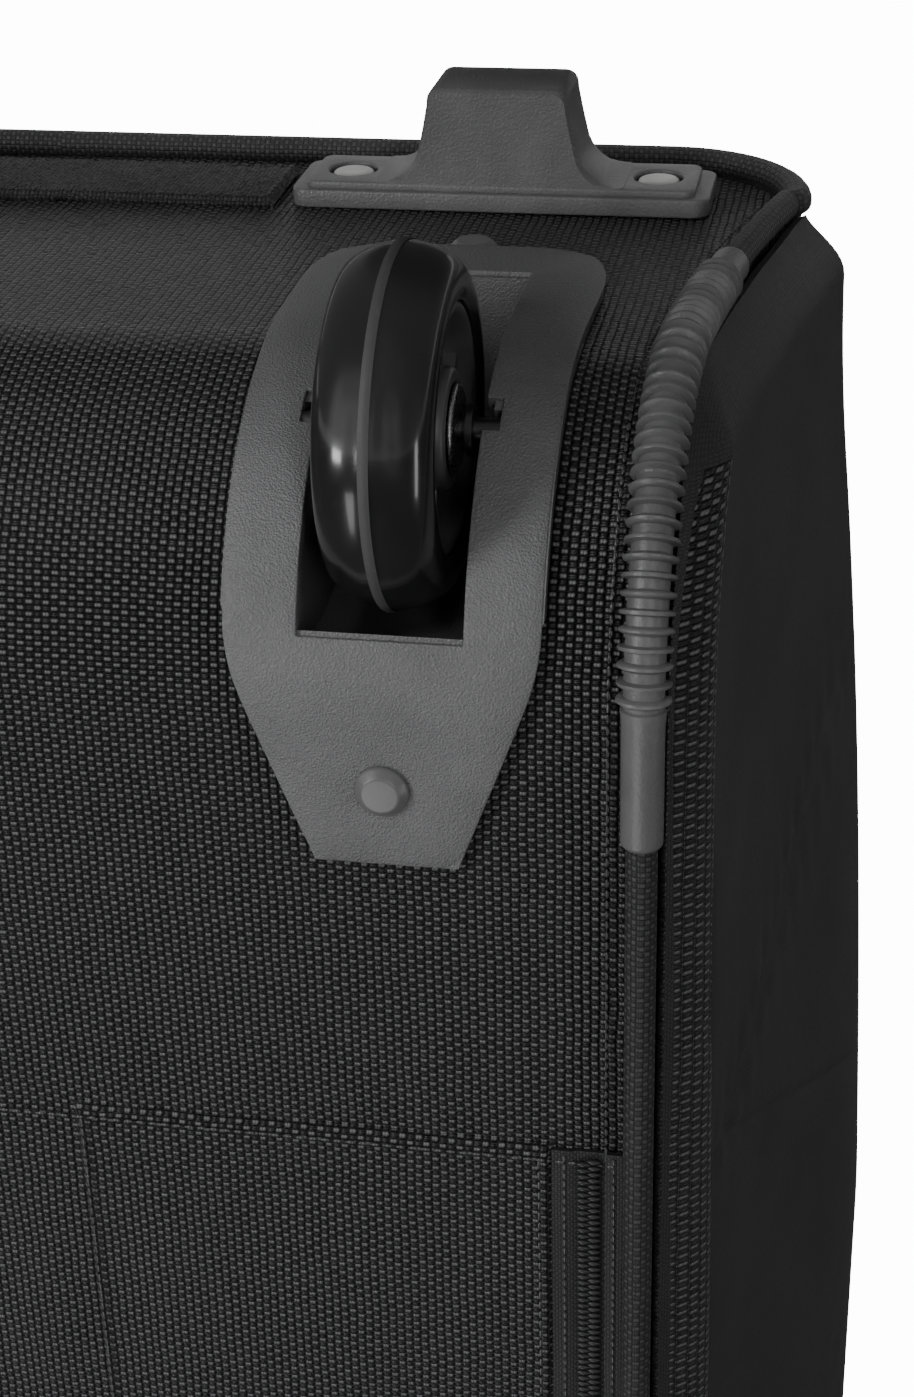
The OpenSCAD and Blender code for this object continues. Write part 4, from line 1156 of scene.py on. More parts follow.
def make_sill():
    """The fixed strip of cloth across the front, below the lid."""
    z0, z1 = BOTTOM_Z - 2.5 * MM, high("front_sill").z

    def place(u, v):
        z = z0 + v * (z1 - z0)
        return front_loop(z, u, ripple(Vector((u * 0.5, 4, z)), 0.06, 0.8 * MM))

    def sill_out(p):
        sideways = p.x * 0.6 if abs(p.x) > SIDE_X - CORNER_R else 0
        return (sideways, -1 if p.y < FRONT_Y + 20 * MM else 0.001, 0)

    obj = sheet_from_grid(150, 50, place)
    box_map(obj)
    apply_modifier(obj, "SOLIDIFY", thickness=2.6 * MM, offset=-1)
    settle(obj, "front_sill_cloth", "case", "fine_cloth", ["front_sill"])
    for z in (z1 - 4 * MM, z0 + 5 * MM):
        stitch([[front_loop(z, i / 120, 0.4 * MM) for i in range(6, 115)]], sill_out, "case")

# ---------------------------------------------------------------- edge piping and corner guards

PIPE_OFF = 2.6 * MM
PIPE_R = 3.4 * MM
PIPE_IN = 4.5 * MM
PIPE_STEP = 2.4 * MM


def edge_point(s, run, t=PIPE_OFF):
    """A point on the piping's centre line down one side. run is the height, carried on under the case."""
    p = wrap(0, run, t)
    p.x = s * (SIDE_X + PIPE_OFF - PIPE_IN + flare(BACK_Y - p.y))
    return p


def piping_path(s):
    """From the middle of the top, down one side, under the case and across to the middle of the front."""
    points = []
    cx, big = SIDE_X - CORNER_R, CORNER_R + PIPE_OFF - PIPE_IN
    for i in range(30):
        points.append(Vector((s * cx * i / 30, BACK_Y + PIPE_OFF, TOP_Z + PIPE_OFF - PIPE_IN)))
    for i in range(24):
        a = math.pi / 2 * i / 24
        x = s * (cx + big * math.sin(a))
        points.append(Vector((x, BACK_Y + PIPE_OFF, TOP_Z - CORNER_R + big * math.cos(a))))
    run = TOP_Z - CORNER_R
    stop = PROFILE_END + CORNER_R
    while run > stop:
        points.append(edge_point(s, run))
        run -= 3 * MM
    wide = flare(BACK_Y - FRONT_Y)
    for i in range(25):
        a = math.pi / 2 * i / 24
        x = s * (cx + wide + big * math.cos(a))
        points.append(Vector((x, FRONT_Y + CORNER_R - big * math.sin(a), BOTTOM_Z - PIPE_OFF)))
    for i in range(1, 31):
        x = s * (cx + wide) * (1 - i / 30)
        points.append(Vector((x, FRONT_Y - PIPE_OFF + PIPE_IN, BOTTOM_Z - PIPE_OFF)))
    return points


def make_piping():
    """A cord of cloth round the back, down the sides and under the front, and a line of sewing beside it."""
    for s, name in SIDES:
        path = smooth_path(piping_path(s), PIPE_STEP)
        obj = tube_along(path, wrap_out, PIPE_R, 18)
        settle(obj, "piping_" + name, "case", "piping", ["edge_piping"] if s > 0 else [])
        gutter = [
            edge_point(s, run, 0.6 * MM) - Vector((s * 7.4 * MM, 0, 0))
            for run in steps(PROFILE_END + CORNER_R, TOP_Z - CORNER_R, 4 * MM)
        ]
        stitch([gutter], wrap_out, "case", pitch=2.6)


def steps(start, stop, step):
    """Evenly spaced values from start up to stop."""
    count = int((stop - start) / step)
    return [start + i * step for i in range(count + 1)]


FIN_PITCH = 3.55 * MM
GUARD_R = 4.5 * MM
FIN_R = 6.0 * MM
# Half a fin's thickness, as a part of the pitch.
FIN_HALF = 0.19
GUARD_STEP = 0.36 * MM


def make_corner_guards():
    """A flexible sleeve over the piping round each bend, with thin fins and a plain collar at each end."""
    for s, name in SIDES:
        top = BEND_Z + 24 * MM
        low_end = BEND_Z - BEND_R * math.pi / 2 - 46 * MM
        path = [edge_point(s, top - GUARD_STEP * i) for i in range(int((top - low_end) / GUARD_STEP))]
        length = sum((b - a).length for a, b in zip(path, path[1:]))
        first, last = 32 * MM, length - 11 * MM

        def radius(d):
            end = min(d, length - d)
            if end < 0.5 * MM:
                return PIPE_R + 0.1 * MM + (GUARD_R - 0.5 * MM - PIPE_R) * (end > 0.2 * MM)
            collar = GUARD_R - 0.35 * MM * max(0, 1 - end / (1.2 * MM))
            if d < first or d > last:
                return collar + 0.35 * MM * max(0, 1 - abs(d - first) / (4 * MM))
            at = ((d - first) / FIN_PITCH) % 1.0
            fin = max(0.0, 1 - ((at - 0.5) / FIN_HALF) ** 4) if abs(at - 0.5) < FIN_HALF else 0.0
            return GUARD_R - 0.25 * MM + (FIN_R - GUARD_R) * fin ** 0.5

        obj = tube_along(path, wrap_out, radius, 30)
        settle(obj, "ribbed_guard_" + name, "case", "guard", ["corner_guard_" + name], smooth=50)


# ---------------------------------------------------------------- wheel housing, wheel and foot


def make_housings():
    """The pebbled face plate bends with the case. It is open over the wheel, with a slot at each axle end."""
    top = BOTTOM_Z + 95 * MM
    front = BOTTOM_Z - 84.5 * MM
    slot = (BOTTOM_Z - 7 * MM, BOTTOM_Z + 1 * MM)
    well_low, well_high, well_half = BOTTOM_Z - 66 * MM, BOTTOM_Z + 44 * MM, 17.3 * MM
    slot_reach = 20.8 * MM

    def half(s):
        z = (s - BOTTOM_Z) / MM
        if z > 40:
            ease = min(1, (z - 40) / 14)
            return (33.2 - ease * ease * 2.2 - max(0, z - 54) * 0.375) * MM
        if z < -58:
            over = (-58 - z) / 26.5
            return (34.6 - 10.5 * (1 - math.sqrt(max(0, 1 - min(1, over) ** 2.4)))) * MM
        return (33.2 + 1.4 * max(0, -z) / 58) * MM

    front_rows = [front + (well_low - front) * math.sin(i / 8 * math.pi / 2) for i in range(9)]
    slot_rows = [slot[0]] + steps(slot[0], slot[1], 1.3 * MM) + [slot[1]]
    well_rows = steps(well_low, slot[0], 3.2 * MM) + slot_rows + steps(slot[1], well_high, 3.2 * MM)
    back_rows = [well_high] + steps(well_high, top, 2.6 * MM) + [top]
    rows = sorted({round(v, 6) for v in front_rows + well_rows + back_rows})
    edges = (well_high, slot[0], slot[1])
    rows = [r for i, r in enumerate(rows) if i == 0 or r - rows[i - 1] > 0.3 * MM or r in edges]

    def columns(s):
        h = half(s)
        slot_x, well_x = min(slot_reach, h * 0.8), min(well_half, h * 0.62)
        outer = [h - (h - slot_x) * i / 5 for i in range(5)]
        inner = [slot_x, well_x]
        mid = [well_x * (1 - 2 * i / 6) for i in range(1, 6)]
        right = outer + inner
        return [-v for v in right] + [-m for m in mid] + right[::-1]

    width = len(columns(0)) - 1
    for s, name in SIDES:
        def place(u, v):
            row = rows[min(int(v * (len(rows) - 1) + 0.5), len(rows) - 1)]
            x = columns(row)[min(int(u * width + 0.5), width)]
            edge = 1 - min(1, (half(row) - abs(x)) / (9 * MM))
            end = max(0, (row - top + 9 * MM) / (9 * MM))
            dome = 4.0 * MM - 0.8 * MM * edge * edge - 0.6 * MM * end ** 2
            return wrap(s * WHEEL_X - x, row, dome)
        obj = sheet_from_grid(width, len(rows) - 1, place)

        def open_here(face):
            i = face.index % width
            row_mid = (rows[face.index // width] + rows[face.index // width + 1]) / 2
            in_well = 6 <= i < width - 6 and well_low < row_mid < well_high
            return in_well or (5 <= i < width - 5 and slot[0] < row_mid < slot[1])

        cut_away(obj, open_here)
        apply_modifier(obj, "SOLIDIFY", thickness=3.6 * MM, offset=-1)
        apply_modifier(
            obj, "BEVEL", width=0.75 * MM, segments=3, limit_method="ANGLE", angle_limit=math.radians(50)
        )
        settle(obj, "housing_plate_" + name, "case", "housing", smooth=30)


def lathe(name, profile, around, axis_at, toward):
    """Turns (radius, height) points round the direction toward, starting at axis_at."""
    toward = Vector(toward).normalized()
    side = toward.orthogonal().normalized()
    other = toward.cross(side)

    def place(u, v):
        r, h = profile[min(int(v * (len(profile) - 1) + 0.5), len(profile) - 1)]
        a = 2 * math.pi * u
        return Vector(axis_at) + toward * h + (side * math.cos(a) + other * math.sin(a)) * r

    obj = sheet_from_grid(around, len(profile) - 1, place, None, True)
    obj.name = name
    return obj


def curve_points(corners, soft, count=4):
    """Rounds the corners of a (radius, height) outline, each by soft."""
    out = [corners[0]]
    for before, at, after in zip(corners, corners[1:], corners[2:]):
        a, b, c = Vector(before), Vector(at), Vector(after)
        r = min(soft, (a - b).length * 0.45, (c - b).length * 0.45)
        p, q = b + (a - b).normalized() * r, b + (c - b).normalized() * r
        for i in range(count + 1):
            t = i / count
            m = p * (1 - t) ** 2 + b * 2 * t * (1 - t) + q * t * t
            out.append((m.x, m.y))
    out.append(corners[-1])
    return out


def scaled(points):
    """An outline given in millimetres."""
    return [(a * MM, b * MM) for a, b in points]


FOOT_PITCH = 77 * MM


def make_rivets():
    """Two domed heads that hold each housing, and one in each end of a foot."""
    head = curve_points(
        scaled([(0.02, 2.5), (4.0, 2.5), (5.7, 0.9), (5.9, 0.3), (5.7, -0.4), (3, -0.5), (0.02, -0.5)]),
        0.45 * MM,
    )
    pin = curve_points(
        scaled([(0.02, 0.5), (3.9, 0.6), (4.9, 0.2), (5.3, -0.6), (5.3, -1.6), (0.02, -1.6)]), 0.5 * MM
    )
    foot_low, foot_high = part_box("foot_right")
    foot_y = (foot_low.y + foot_high.y) / 2
    for s, name in SIDES:
        place = wrap(s * WHEEL_X, BOTTOM_Z + 76.5 * MM, 4.0 * MM)
        obj = lathe("r", head, 40, place, BACKWARD)
        settle(obj, "plate_rivet_" + name, "case", "dark_rivet", ["housing_rivets"] if s > 0 else [])
        place = Vector((s * WHEEL_X, BACK_Y - 116 * MM, BOTTOM_Z - 1.2 * MM))
        obj = lathe("r", head, 40, place, DOWNWARD)
        settle(obj, "bottom_rivet_" + name, "case", "dark_rivet")
        for k in (-1, 1):
            place = Vector((s * WHEEL_X + k * FOOT_PITCH / 2, foot_y, BOTTOM_Z - 5.6 * MM))
            obj = lathe("r", pin, 36, place, DOWNWARD)
            settle(
                obj, "foot_rivet_%s_%d" % (name, k + 1), "case", "light_rivet",
                ["foot_rivets"] if s > 0 and k > 0 else [],
            )


RIDGE = plastic_material("tyre_ridge", (0.05, 0.05, 0.052, 1), 0.62, 2600, 0.0001, 0.1)


def make_wheels():
    """A glossy tyre with a matt moulding ridge round its crown, on a spoked wheel."""
    r, h = WHEEL_R, (TYRE_HIGH.x - TYRE_LOW.x) / 2
    inner = 28.2 * MM
    profile = []
    for i in range(49):
        a = -math.pi / 2 + math.pi * i / 48
        x = math.sin(a)
        rise = math.cos(a) ** 0.66
        crown = 0.0 if abs(x) > 0.16 else 0.35 * MM * (1 - abs(x) / 0.16)
        out = inner + (r - 0.4 * MM - inner) * rise * (1 - 0.06 * abs(x)) + crown
        profile.append((out, h * (x * 0.98 + 0.02 * x ** 3)))
    bead, shoulder = 26.3 * MM, 27.4 * MM
    start = [(bead, -h + 1.6 * MM), (shoulder, -h + 0.8 * MM)]
    inside = [(shoulder, h - 0.8 * MM), (bead, 11.4 * MM), (bead, -11.4 * MM), (bead, -h + 1.6 * MM)]
    profile = start + profile + inside
    for s, name in SIDES:
        hub_at = Vector((s * WHEEL_X, AXLE_Y, AXLE_Z))
        obj = lathe("t", profile, 120, hub_at, (1, 0, 0))
        settle(obj, "tyre_skin_" + name, "wheel_" + name, "tyre", ["tyre_" + name], smooth=50)
        band = [
            (r - 0.15 * MM, -1.1 * MM), (r + 0.12 * MM, -0.4 * MM), (r + 0.14 * MM, 0),
            (r + 0.12 * MM, 0.4 * MM), (r - 0.15 * MM, 1.1 * MM), (r - 1 * MM, 0),
            (r - 0.15 * MM, -1.1 * MM),
        ]
        obj = lathe("b", band, 120, hub_at, (1, 0, 0))
        settle(obj, "tyre_ridge_" + name, "wheel_" + name, "tyre", material=RIDGE)
        make_hub(hub_at, "wheel_" + name, name)


def bar(a, b, width, depth, taper=1.0):
    """A rounded bar between two points in the wheel's plane. depth is its size along the axle."""
    deselect()
    bpy.ops.mesh.primitive_cube_add(size=1)
    obj = bpy.context.object
    a, b = Vector(a), Vector(b)
    along = (b - a).normalized()
    axis = Vector((1, 0, 0))
    side = along.cross(axis)
    for v in obj.data.vertices:
        wide = width * (taper if v.co.y > 0 else 1)
        v.co = a + (b - a) * (v.co.y + 0.5) + side * v.co.x * wide + axis * v.co.z * depth
    apply_modifier(
        obj, "BEVEL", width=0.5 * MM, segments=2, limit_method="ANGLE", angle_limit=math.radians(40)
    )
    return obj


def join(objects):
    """Makes one piece of several. It keeps the first one's place."""
    deselect()
    for obj in objects:
        obj.select_set(True)
    bpy.context.view_layer.objects.active = objects[0]
    bpy.ops.object.join()
    return bpy.context.object


def make_hub(at, body, name):
    """Rim ring, boss and six forked spokes, with a steel washer outside the boss."""
    rim = curve_points(
        scaled(
            [
                (26.0, 10.6), (25.2, 11.2), (23.8, 10.8), (22.6, 7.5), (22.2, 2), (22.2, -2),
                (22.6, -7.5), (23.8, -10.8), (25.2, -11.2), (26.0, -10.6), (26.0, 10.6),
            ]
        ),
        0.6 * MM, 2,
    )
    boss = curve_points(
        scaled(
            [
                (9.6, 10.5), (10.0, 11.0), (12.2, 10.8), (12.8, 9.5), (12.9, 0), (12.8, -9.5),
                (12.2, -10.8), (10.0, -11.0), (9.6, -10.5), (9.6, 10.5),
            ]
        ),
        0.5 * MM, 2,
    )
    parts = [lathe("rim", rim, 96, at, (1, 0, 0)), lathe("boss", boss, 64, at, (1, 0, 0))]
    for i in range(6):
        a = math.radians(60 * i + 12)
        d = Vector((0, math.cos(a), math.sin(a)))
        n = Vector((0, -math.sin(a), math.cos(a)))
        fork = at + d * 16.8 * MM
        parts.append(bar(at + d * 12 * MM, fork, 2.6 * MM, 16 * MM))
        for k in (-1, 1):
            parts.append(bar(fork - d * 0.6 * MM, at + d * 22.8 * MM + n * k * 3.6 * MM, 1.7 * MM, 16 * MM))
        parts.append(bar(at + d * 12.4 * MM + n * 0.1 * MM, at + d * 22.8 * MM, 0.9 * MM, 9 * MM))
    obj = join(parts)
    settle(obj, "wheel_hub_" + name, body, "hub", ["hub_" + name], smooth=40)
    washer = curve_points(
        scaled([(3.2, 0.5), (8.6, 0.5), (9.3, 0.1), (9.3, -0.5), (3.2, -0.5), (3.2, 0.5)]), 0.2 * MM, 2
    )
    rings = [lathe("w", washer, 56, at + Vector((k * 11.6 * MM, 0, 0)), (k, 0, 0)) for k in (-1, 1)]
    settle(join(rings), "wheel_washers_" + name, body, "bearing")


def foot_outline():
    """The foot's block seen from behind, as (across, down) in mm: it flares into its base on each side."""
    rise = [(-32.0, 5.6), (-31.0, 6.6)]
    arc_r = 10.5
    for i in range(9):
        a = math.radians(90 - 80 * i / 8)
        rise.append((-19.4 - arc_r + arc_r * math.cos(a), 6.6 + arc_r - arc_r * math.sin(a)))
    rise += [(-18.4, 20.5), (-17.4, 25.6)]
    for i in range(5):
        a = math.radians(180 - 90 * i / 4)
        rise.append((-14.2 + 3.1 * math.cos(a), 26.9 + 3.1 * math.sin(a)))
    return rise + [(-x, z) for x, z in reversed(rise)]


def foot_block(s, mid_y):
    """The outline drawn through the foot's depth, with softened edges and a face at each end."""
    outline = foot_outline()
    rows = [(-11.6, 0.9), (-10.9, 0.35), (-10.2, 0.0), (10.2, 0.0), (10.9, 0.35), (11.6, 0.9)]

    def at(corner, row):
        x, z = corner
        y, back = row
        across = x * (1 - back / 30) * MM
        return Vector((s * WHEEL_X + across, mid_y + y * MM, BOTTOM_Z - (z - back * (z > 8)) * MM))

    def place(u, v):
        k = min(int(u * (len(outline) - 1) + 0.5), len(outline) - 1)
        return at(outline[k], rows[min(int(v * (len(rows) - 1) + 0.5), len(rows) - 1)])

    pieces = [sheet_from_grid(len(outline) - 1, len(rows) - 1, place)]
    for row in (rows[0], rows[-1]):
        mesh = bpy.data.meshes.new("cap")
        mesh.from_pydata([at(corner, row) for corner in outline], [], [tuple(range(len(outline)))])
        cap = bpy.data.objects.new("cap", mesh)
        bpy.context.scene.collection.objects.link(cap)
        pieces.append(cap)
    block = join(pieces)
    edit(block, merge_doubles(1.5 * WELD), OUTWARD)
    return block


def foot_plate(s, mid_y, half_w, half_d, top, bottom, corner):
    """One step of the foot's base, with rounded corners and a hole for each rivet."""
    deselect()
    bpy.ops.mesh.primitive_cube_add(size=1)
    plate = bpy.context.object
    for v in plate.data.vertices:
        z = BOTTOM_Z - 0.05 * MM - (bottom if v.co.z < 0 else top)
        v.co = Vector((s * WHEEL_X + v.co.x * 2 * half_w, mid_y + v.co.y * 2 * half_d, z))
    activate(plate)
    for edge in plate.data.edges:
        a, b = (plate.data.vertices[i].co for i in edge.vertices)
        edge.select = abs(a.z - b.z) > 1 * MM
    for item in plate.data.polygons:
        item.select = False
    bpy.ops.object.mode_set(mode="EDIT")
    bpy.ops.mesh.select_mode(type="EDGE")
    bpy.ops.mesh.bevel(offset=corner, segments=4, affect="EDGES")
    bpy.ops.object.mode_set(mode="OBJECT")
    for k in (-1, 1):
        deselect()
        hole_at = (s * WHEEL_X + k * FOOT_PITCH / 2, mid_y, BOTTOM_Z - 7.4 * MM)
        bpy.ops.mesh.primitive_cylinder_add(vertices=40, radius=6.1 * MM, depth=8 * MM, location=hole_at)
        cutter = bpy.context.object
        apply_modifier(plate, "BOOLEAN", object=cutter, operation="DIFFERENCE", solver="EXACT")
        bpy.data.objects.remove(cutter)
    apply_modifier(
        plate, "BEVEL", width=0.7 * MM, segments=3, limit_method="ANGLE", angle_limit=math.radians(40)
    )
    return plate


def make_feet():
    """A hat-shaped foot: a two-step base plate with a block that flares down into it on each side."""
    foot_low, foot_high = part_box("foot_right")
    mid_y = (foot_low.y + foot_high.y) / 2
    half_w, half_d = 52 * MM, 13.5 * MM
    for s, name in SIDES:
        block = foot_block(s, mid_y)
        wide = foot_plate(s, mid_y, half_w, half_d, 0.0, 4.6 * MM, 4 * MM)
        narrow = foot_plate(
            s, mid_y, half_w - 3.6 * MM, half_d - 1.6 * MM, 4.2 * MM, 6.4 * MM, 3 * MM
        )
        obj = join([block, wide, narrow])
        settle(obj, "foot_body_" + name, "case", "foot", ["foot_" + name], smooth=35)

# ---------------------------------------------------------------- zips, lid, pockets and handles


def ring_at(y, t, z_from):
    """Over the case from one side to the other at depth y, standing t off the cloth, down to z_from."""
    points = []
    z = z_from
    while z < TOP_Z - CORNER_R:
        points.append(side_point(-1, y, z, t))
        z += 5 * MM
    for i in range(25):
        a = math.pi / 2 * i / 24
        swell = side_swell(-1, y, TOP_Z - CORNER_R) * (1 - i / 24)
        x = -(SIDE_X - CORNER_R) - (CORNER_R + t) * math.cos(a) - swell
        points.append(Vector((x, y, TOP_Z - CORNER_R + (CORNER_R + t) * math.sin(a))))
    half_run = [Vector((-x, y, TOP_Z + t)) for x in steps(0, SIDE_X - CORNER_R - 4 * MM, 6 * MM)][::-1]
    points += half_run
    return points + [Vector((-p.x, p.y, p.z)) for p in reversed(points[:-1])]


def ring_out(p):
    """Outward direction on the case's sides and top."""
    reach = SIDE_X - CORNER_R
    over = p.z - (TOP_Z - CORNER_R)
    if over <= 0:
        return Vector((math.copysign(1, p.x), 0, 0))
    if abs(p.x) < reach:
        return Vector((0, 0, 1))
    return Vector((p.x - math.copysign(reach, p.x), 0, over)).normalized()


def band_along(path, out_of, across_of, low_w, high_w, lift, thick, rows=5):
    """A flat tape along a path. across_of(p) is the direction of its width."""
    far = [0.0]
    for a, b in zip(path, path[1:]):
        far.append(far[-1] + (b - a).length)
    last = len(path) - 1

    def place(u, v):
        k = min(int(v * last + 0.5), last)
        p = path[k]
        return p + across_of(p) * (low_w + u * (high_w - low_w)) + out_of(p) * lift

    obj = sheet_from_grid(
        rows, last, place, lambda u, v: (u * (high_w - low_w), far[min(int(v * last + 0.5), last)])
    )
    face = obj.data.polygons[len(obj.data.polygons) // 2]
    if face.normal.dot(out_of(face.center)) < 0:
        edit(obj, FLIP)
    apply_modifier(obj, "SOLIDIFY", thickness=thick, offset=-1)
    return obj


def zip_tail_path(s):
    """Below the lid the closed zip sweeps back and down over the side, then its end is tucked into a seam."""
    points = []
    for i in range(31):
        a = i / 30
        y = ZIP_Y + 1 * MM + 30 * MM * (1 - math.cos(a * math.pi / 2))
        z = HINGE_Z + 4 * MM - 58 * MM * math.sin(a * math.pi / 2)
        points.append(side_point(s, y, z, 0.4 * MM))
    return points


def make_main_zip():
    """Two rows of coil round the opening, with a tape on each side and a tail below the lid."""
    start = HINGE_Z + 5 * MM
    back = Vector((0, 1, 0))
    path = ring_at(ZIP_Y, 0.4 * MM, start)
    path = smooth_path(path, 3 * MM)
    case_tape = band_along(path, ring_out, lambda p: back, 0.8 * MM, 11 * MM, 0.8 * MM, 1.0 * MM)
    settle(
        case_tape, "main_zip_tape_case", "case", "zip_tape", ["main_zip_case"],
        material=MATERIALS["fine_tape"],
    )
    lid_tape = band_along(path, ring_out, lambda p: back, -10 * MM, -0.8 * MM, 0.8 * MM, 1.0 * MM)
    settle(
        lid_tape, "main_zip_tape_lid", "lid", "zip_tape", ["main_zip_lid"], material=MATERIALS["fine_tape"]
    )
    frames = path_frames(smooth_path(path, 1.25 * MM), ring_out)
    for name, body, parity in (("case", "case", 1), ("lid", "lid", 0)):
        places = [seated(f, 0.9 * MM, 0) for i, f in enumerate(frames) if i % 2 == parity]
        places = [Matrix.Translation(back * (1.15 if parity else -1.15) * MM) @ m for m in places]
        obj = copies(zip_tooth(2.9 * MM, 1.6 * MM), places)
        settle(obj, "main_zip_coil_" + name, body, "zip_tape", material=COIL, smooth=60)
    for s, name in SIDES:
        tail = smooth_path(zip_tail_path(s), 2 * MM)
        out = Vector((s, 0, 0))

        def across(p):
            near = min(range(len(tail)), key=lambda i: (tail[i] - p).length)
            way = tail[min(near + 1, len(tail) - 1)] - tail[max(near - 1, 0)]
            return way.cross(out).normalized() * (-1 if s > 0 else 1)

        tape = band_along(tail, lambda p: out, across, -8 * MM, 8 * MM, 0.6 * MM, 1.0 * MM, 8)
        settle(tape, "zip_tail_tape_" + name, "case", "zip_tape", material=MATERIALS["fine_tape"])
        places = [
            seated(f, 0.9 * MM, (0.9 if i % 2 else -0.9) * MM)
            for i, f in enumerate(path_frames(smooth_path(tail, 0.95 * MM), (s, 0, 0)))
        ]
        settle(
            copies(zip_tooth(3.4 * MM, 1.5 * MM), places), "zip_tail_coil_" + name, "case", "zip_tape",
            material=COIL, smooth=60,
        )
        stitch(
            [[p + across(p) * k * MM for p in tail] for k in (-6.5, 6.5)], (s, 0, 0), "case", pitch=2.4,
            lift=0.8,
        )
    sewn_off = 9.2
    stitch([[p + back * sewn_off * MM for p in path]], ring_out, "case", pitch=3.2, lift=0.9)
    stitch([[p - back * sewn_off * MM for p in path]], ring_out, "lid", pitch=3.2, lift=0.9)


def make_lid():
    """The opening front: a puffed panel whose edge follows the case's swollen sides."""
    z0, z1 = low("lid_shell").z, TOP_Z

    def place(u, v):
        # v runs up the front, over the top corner and back to the zip.
        flat_run = z1 - CORNER_R - z0
        turn_run = CORNER_R * math.pi / 2
        back_run = max(0.5 * MM, ZIP_Y - 1 * MM - (FRONT_Y + CORNER_R))
        d = v * (flat_run + turn_run + back_run)
        if d < flat_run:
            z, inset = z0 + d, 0.0
        elif d < flat_run + turn_run:
            a = (d - flat_run) / CORNER_R
            z, inset = z1 - CORNER_R + CORNER_R * math.sin(a), CORNER_R * (1 - math.cos(a))
        else:
            z, inset = z1, CORNER_R + d - flat_run - turn_run
        p = front_loop(min(z, TOP_Z - CORNER_R), u)
        p.z = z
        p.y = max(p.y, FRONT_Y + inset)
        over = max(0.0, z - (TOP_Z - CORNER_R))
        if over > 0:
            cut = CORNER_R - math.sqrt(max(0, CORNER_R**2 - over**2))
            limit = SIDE_X - cut + side_swell(1, ZIP_Y, TOP_Z - CORNER_R) * max(0, 1 - over / CORNER_R)
            p.x = max(-limit, min(limit, p.x))
        soft = ripple(p, 0.07, 0.9 * MM)
        return p + Vector((0, -soft if p.y < FRONT_Y + 5 * MM else 0, 0))

    obj = sheet_from_grid(150, 170, place)
    box_map(obj)
    apply_modifier(obj, "SOLIDIFY", thickness=2.6 * MM, offset=-1)
    settle(obj, "lid_cloth", "lid", "fine_cloth", ["lid_shell"])


def pad_piece(name, node, body, slot, puff, hollow):
    """A soft pocket swelled from its CAD body, with a seam pinched round its edge."""
    lo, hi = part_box(node)
    w, h = hi.x - lo.x, hi.z - lo.z
    t = hi.y - lo.y

    def place(u, v):
        a, b = 2 * u - 1, 2 * v - 1
        ra, rb = abs(a) ** 5, abs(b) ** 5
        body_depth = (1 - ra) ** 0.45 * (1 - rb) ** 0.45 if ra < 1 and rb < 1 else 0
        pull = 1 - hollow * (1 - b * b) * abs(a) ** 3
        x = (lo.x + hi.x) / 2 + a * w / 2 * pull
        z = (lo.z + hi.z) / 2 + b * h / 2 * (1 - hollow * (1 - a * a) * abs(b) ** 3)
        seam = 0.8 * MM * math.exp(-(((1 - max(abs(a), abs(b))) * w / 2 - 9 * MM) / (1.6 * MM)) ** 2)
        stood = (t - 1.5 * MM) * body_depth * (1 - 0.05 * (a * a + b * b))
        y = hi.y - stood + seam - puff * body_depth * (1 - a * a) * (1 - b * b)
        return Vector((x, y + ripple(Vector((x, 0, z)), 0.06, 1.5 * MM) * body_depth, z))

    obj = sheet_from_grid(120, 110, place)
    box_map(obj)
    apply_modifier(obj, "SOLIDIFY", thickness=1.6 * MM, offset=-1)
    settle(obj, name, body, slot, [node])
    return place


def make_pockets():
    """The two soft pockets on the lid, sewn round their edges, each with its zip."""
    for node in ("front_pocket", "slim_pocket"):
        place = pad_piece(node + "_cloth", node, "lid", "ballistic", 1.5 * MM, 0.012)
        edge = []
        for i in range(161):
            a = i / 160 * 4
            side, f = int(a) % 4, a - int(a)
            u, v = (
                (0.035 + 0.93 * f, 0.045), (0.965, 0.045 + 0.91 * f), (0.965 - 0.93 * f, 0.955),
                (0.035, 0.955 - 0.91 * f),
            )[side]
            edge.append(place(u, v) - Vector((0, 0.5 * MM, 0)))
        stitch([edge], FORWARD, "lid", pitch=3.4)
    zip_low, zip_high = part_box("pocket_zips")
    for node, name, up in (("front_pocket", "front", 34 * MM), ("slim_pocket", "slim", 26 * MM)):
        lo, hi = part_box(node)
        z = hi.z - up
        run = [
            Vector((x, lo.y - 1.2 * MM, z)) for x in steps(zip_low.x + 2 * MM, zip_high.x - 2 * MM, 6 * MM)
        ]
        tape = band_along(
            run, lambda p: Vector((0, -1, 0)), lambda p: Vector((0, 0, 1)), -8 * MM, 8 * MM, 0.2 * MM,
            1.2 * MM,
        )
        settle(
            tape, "pocket_zip_tape_" + name, "lid", "zip_tape",
            ["pocket_zips"] if name == "front" else [], material=MATERIALS["fine_tape"],
        )
        coil_zip("pocket_zip_coil_" + name, run, FORWARD, "lid", pitch=2.0, width=4.6)


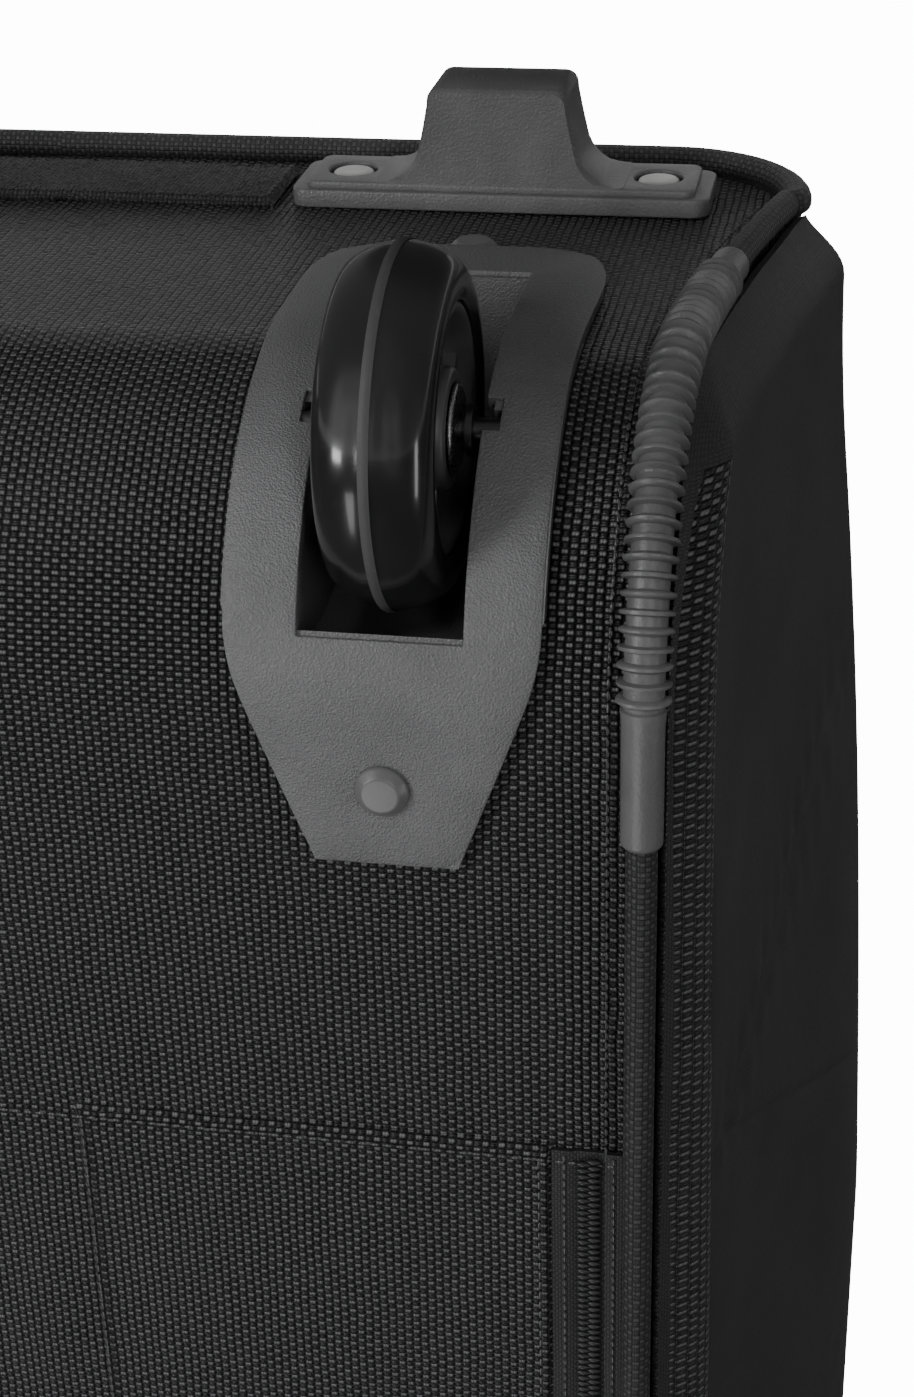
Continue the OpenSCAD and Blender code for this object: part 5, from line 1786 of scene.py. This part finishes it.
def make_loop_strip():
    """A band of fuzzy loops along the bottom between the feet."""
    lo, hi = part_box("bottom_loop_strip")

    def place(u, v):
        x = hi.x - u * (hi.x - lo.x)
        y = lo.y - 3 * MM + v * (hi.y - lo.y + 6 * MM)
        edge = min(x - lo.x, hi.x - x, y - lo.y + 3 * MM, hi.y + 3 * MM - y)
        worn = ripple(Vector((x * 2, y * 3, 1)), 0.03, 1.0 * MM)
        fine = noise.noise(Vector((x, y, 5)) * 900) * 0.35 * MM
        fuzz = fine + noise.noise(Vector((x, y, 9)) * 400) * 0.3 * MM
        return Vector((x, y, BOTTOM_Z - min(1.6 * MM, edge * 0.9) - worn * 0.4 - fuzz - 1.0 * MM))

    obj = sheet_from_grid(420, 90, place)
    if obj.data.polygons[0].normal.z > 0:
        edit(obj, FLIP)
    box_map(obj)
    apply_modifier(obj, "SOLIDIFY", thickness=1.4 * MM, offset=-1)
    settle(obj, "loop_pile_strip", "case", "loop_strip", ["bottom_loop_strip"], smooth=60)
    border = [
        (lo.x + 2 * MM, lo.y - 1 * MM), (hi.x - 2 * MM, lo.y - 1 * MM), (hi.x - 2 * MM, hi.y + 1 * MM),
        (lo.x + 2 * MM, hi.y + 1 * MM), (lo.x + 2 * MM, lo.y - 1 * MM),
    ]
    stitch([[Vector((x, y, BOTTOM_Z - 2.4 * MM)) for x, y in border]], DOWNWARD, "case", pitch=3.0)


def strap_wrap(name, node, body, axis):
    """A webbing handle's padded sleeve, folded round the middle of its strap and sewn along both edges."""
    lo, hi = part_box(node)
    mesh = nodes[node].data
    points = [v.co.copy() for v in mesh.vertices]
    out = Vector((0, 0, 1)) if axis == "top" else Vector((-1, 0, 0))
    along = Vector((1, 0, 0)) if axis == "top" else Vector((0, 0, 1))
    across = along.cross(out)
    mid = (lo + hi) / 2
    crown = max(p.dot(out) for p in points)
    reach = (hi - lo).dot(Vector((abs(along.x), abs(along.y), abs(along.z)))) / 2
    half_w = (hi - lo).dot(Vector((abs(across.x), abs(across.y), abs(across.z)))) / 2
    base = mid - out * mid.dot(out)

    def place(u, v):
        a = 2 * math.pi * u
        d = (2 * v - 1) * (reach - 40 * MM)
        end = 1 - abs(2 * v - 1) ** 8
        wide = (half_w + 2.2 * MM) * (0.94 + 0.06 * end)
        thick = (2.6 + 1.6 * end) * MM
        c, k = math.cos(a), math.sin(a)
        flat_c = math.copysign(abs(c) ** 0.35, c)
        flat_k = math.copysign(abs(k) ** 0.8, k)
        return base + along * d + across * wide * flat_c + out * (crown - 1.75 * MM + thick * flat_k)

    obj = sheet_from_grid(44, 60, place, lambda u, v: (u * 0.075, v * 2 * (reach - 40 * MM)), True)
    settle(obj, name, body, "webbing", material=MATERIALS["sleeve"])
    rows = [
        [
            base + along * d + across * k * (half_w - 2.5 * MM) + out * (crown + 2.0 * MM)
            for d in steps(-(reach - 44 * MM), reach - 44 * MM, 6 * MM)
        ]
        for k in (-1, 1)
    ]
    stitch(rows, out, body, pitch=3.2)


def make_handles():
    """Padded sleeves on the two carry straps."""
    strap_wrap("top_handle_sleeve", "top_handle", "top_carry_handle", "top")
    strap_wrap("side_handle_sleeve", "side_handle", "side_carry_handle", "side")

# ---------------------------------------------------------------- building the case

make_back_panel()
make_back_pockets()
make_sides()
make_top()
make_sill()
make_piping()
make_corner_guards()
make_housings()
make_rivets()
make_wheels()
make_feet()
make_main_zip()
make_lid()
make_pockets()
make_loop_strip()
make_handles()
sew()
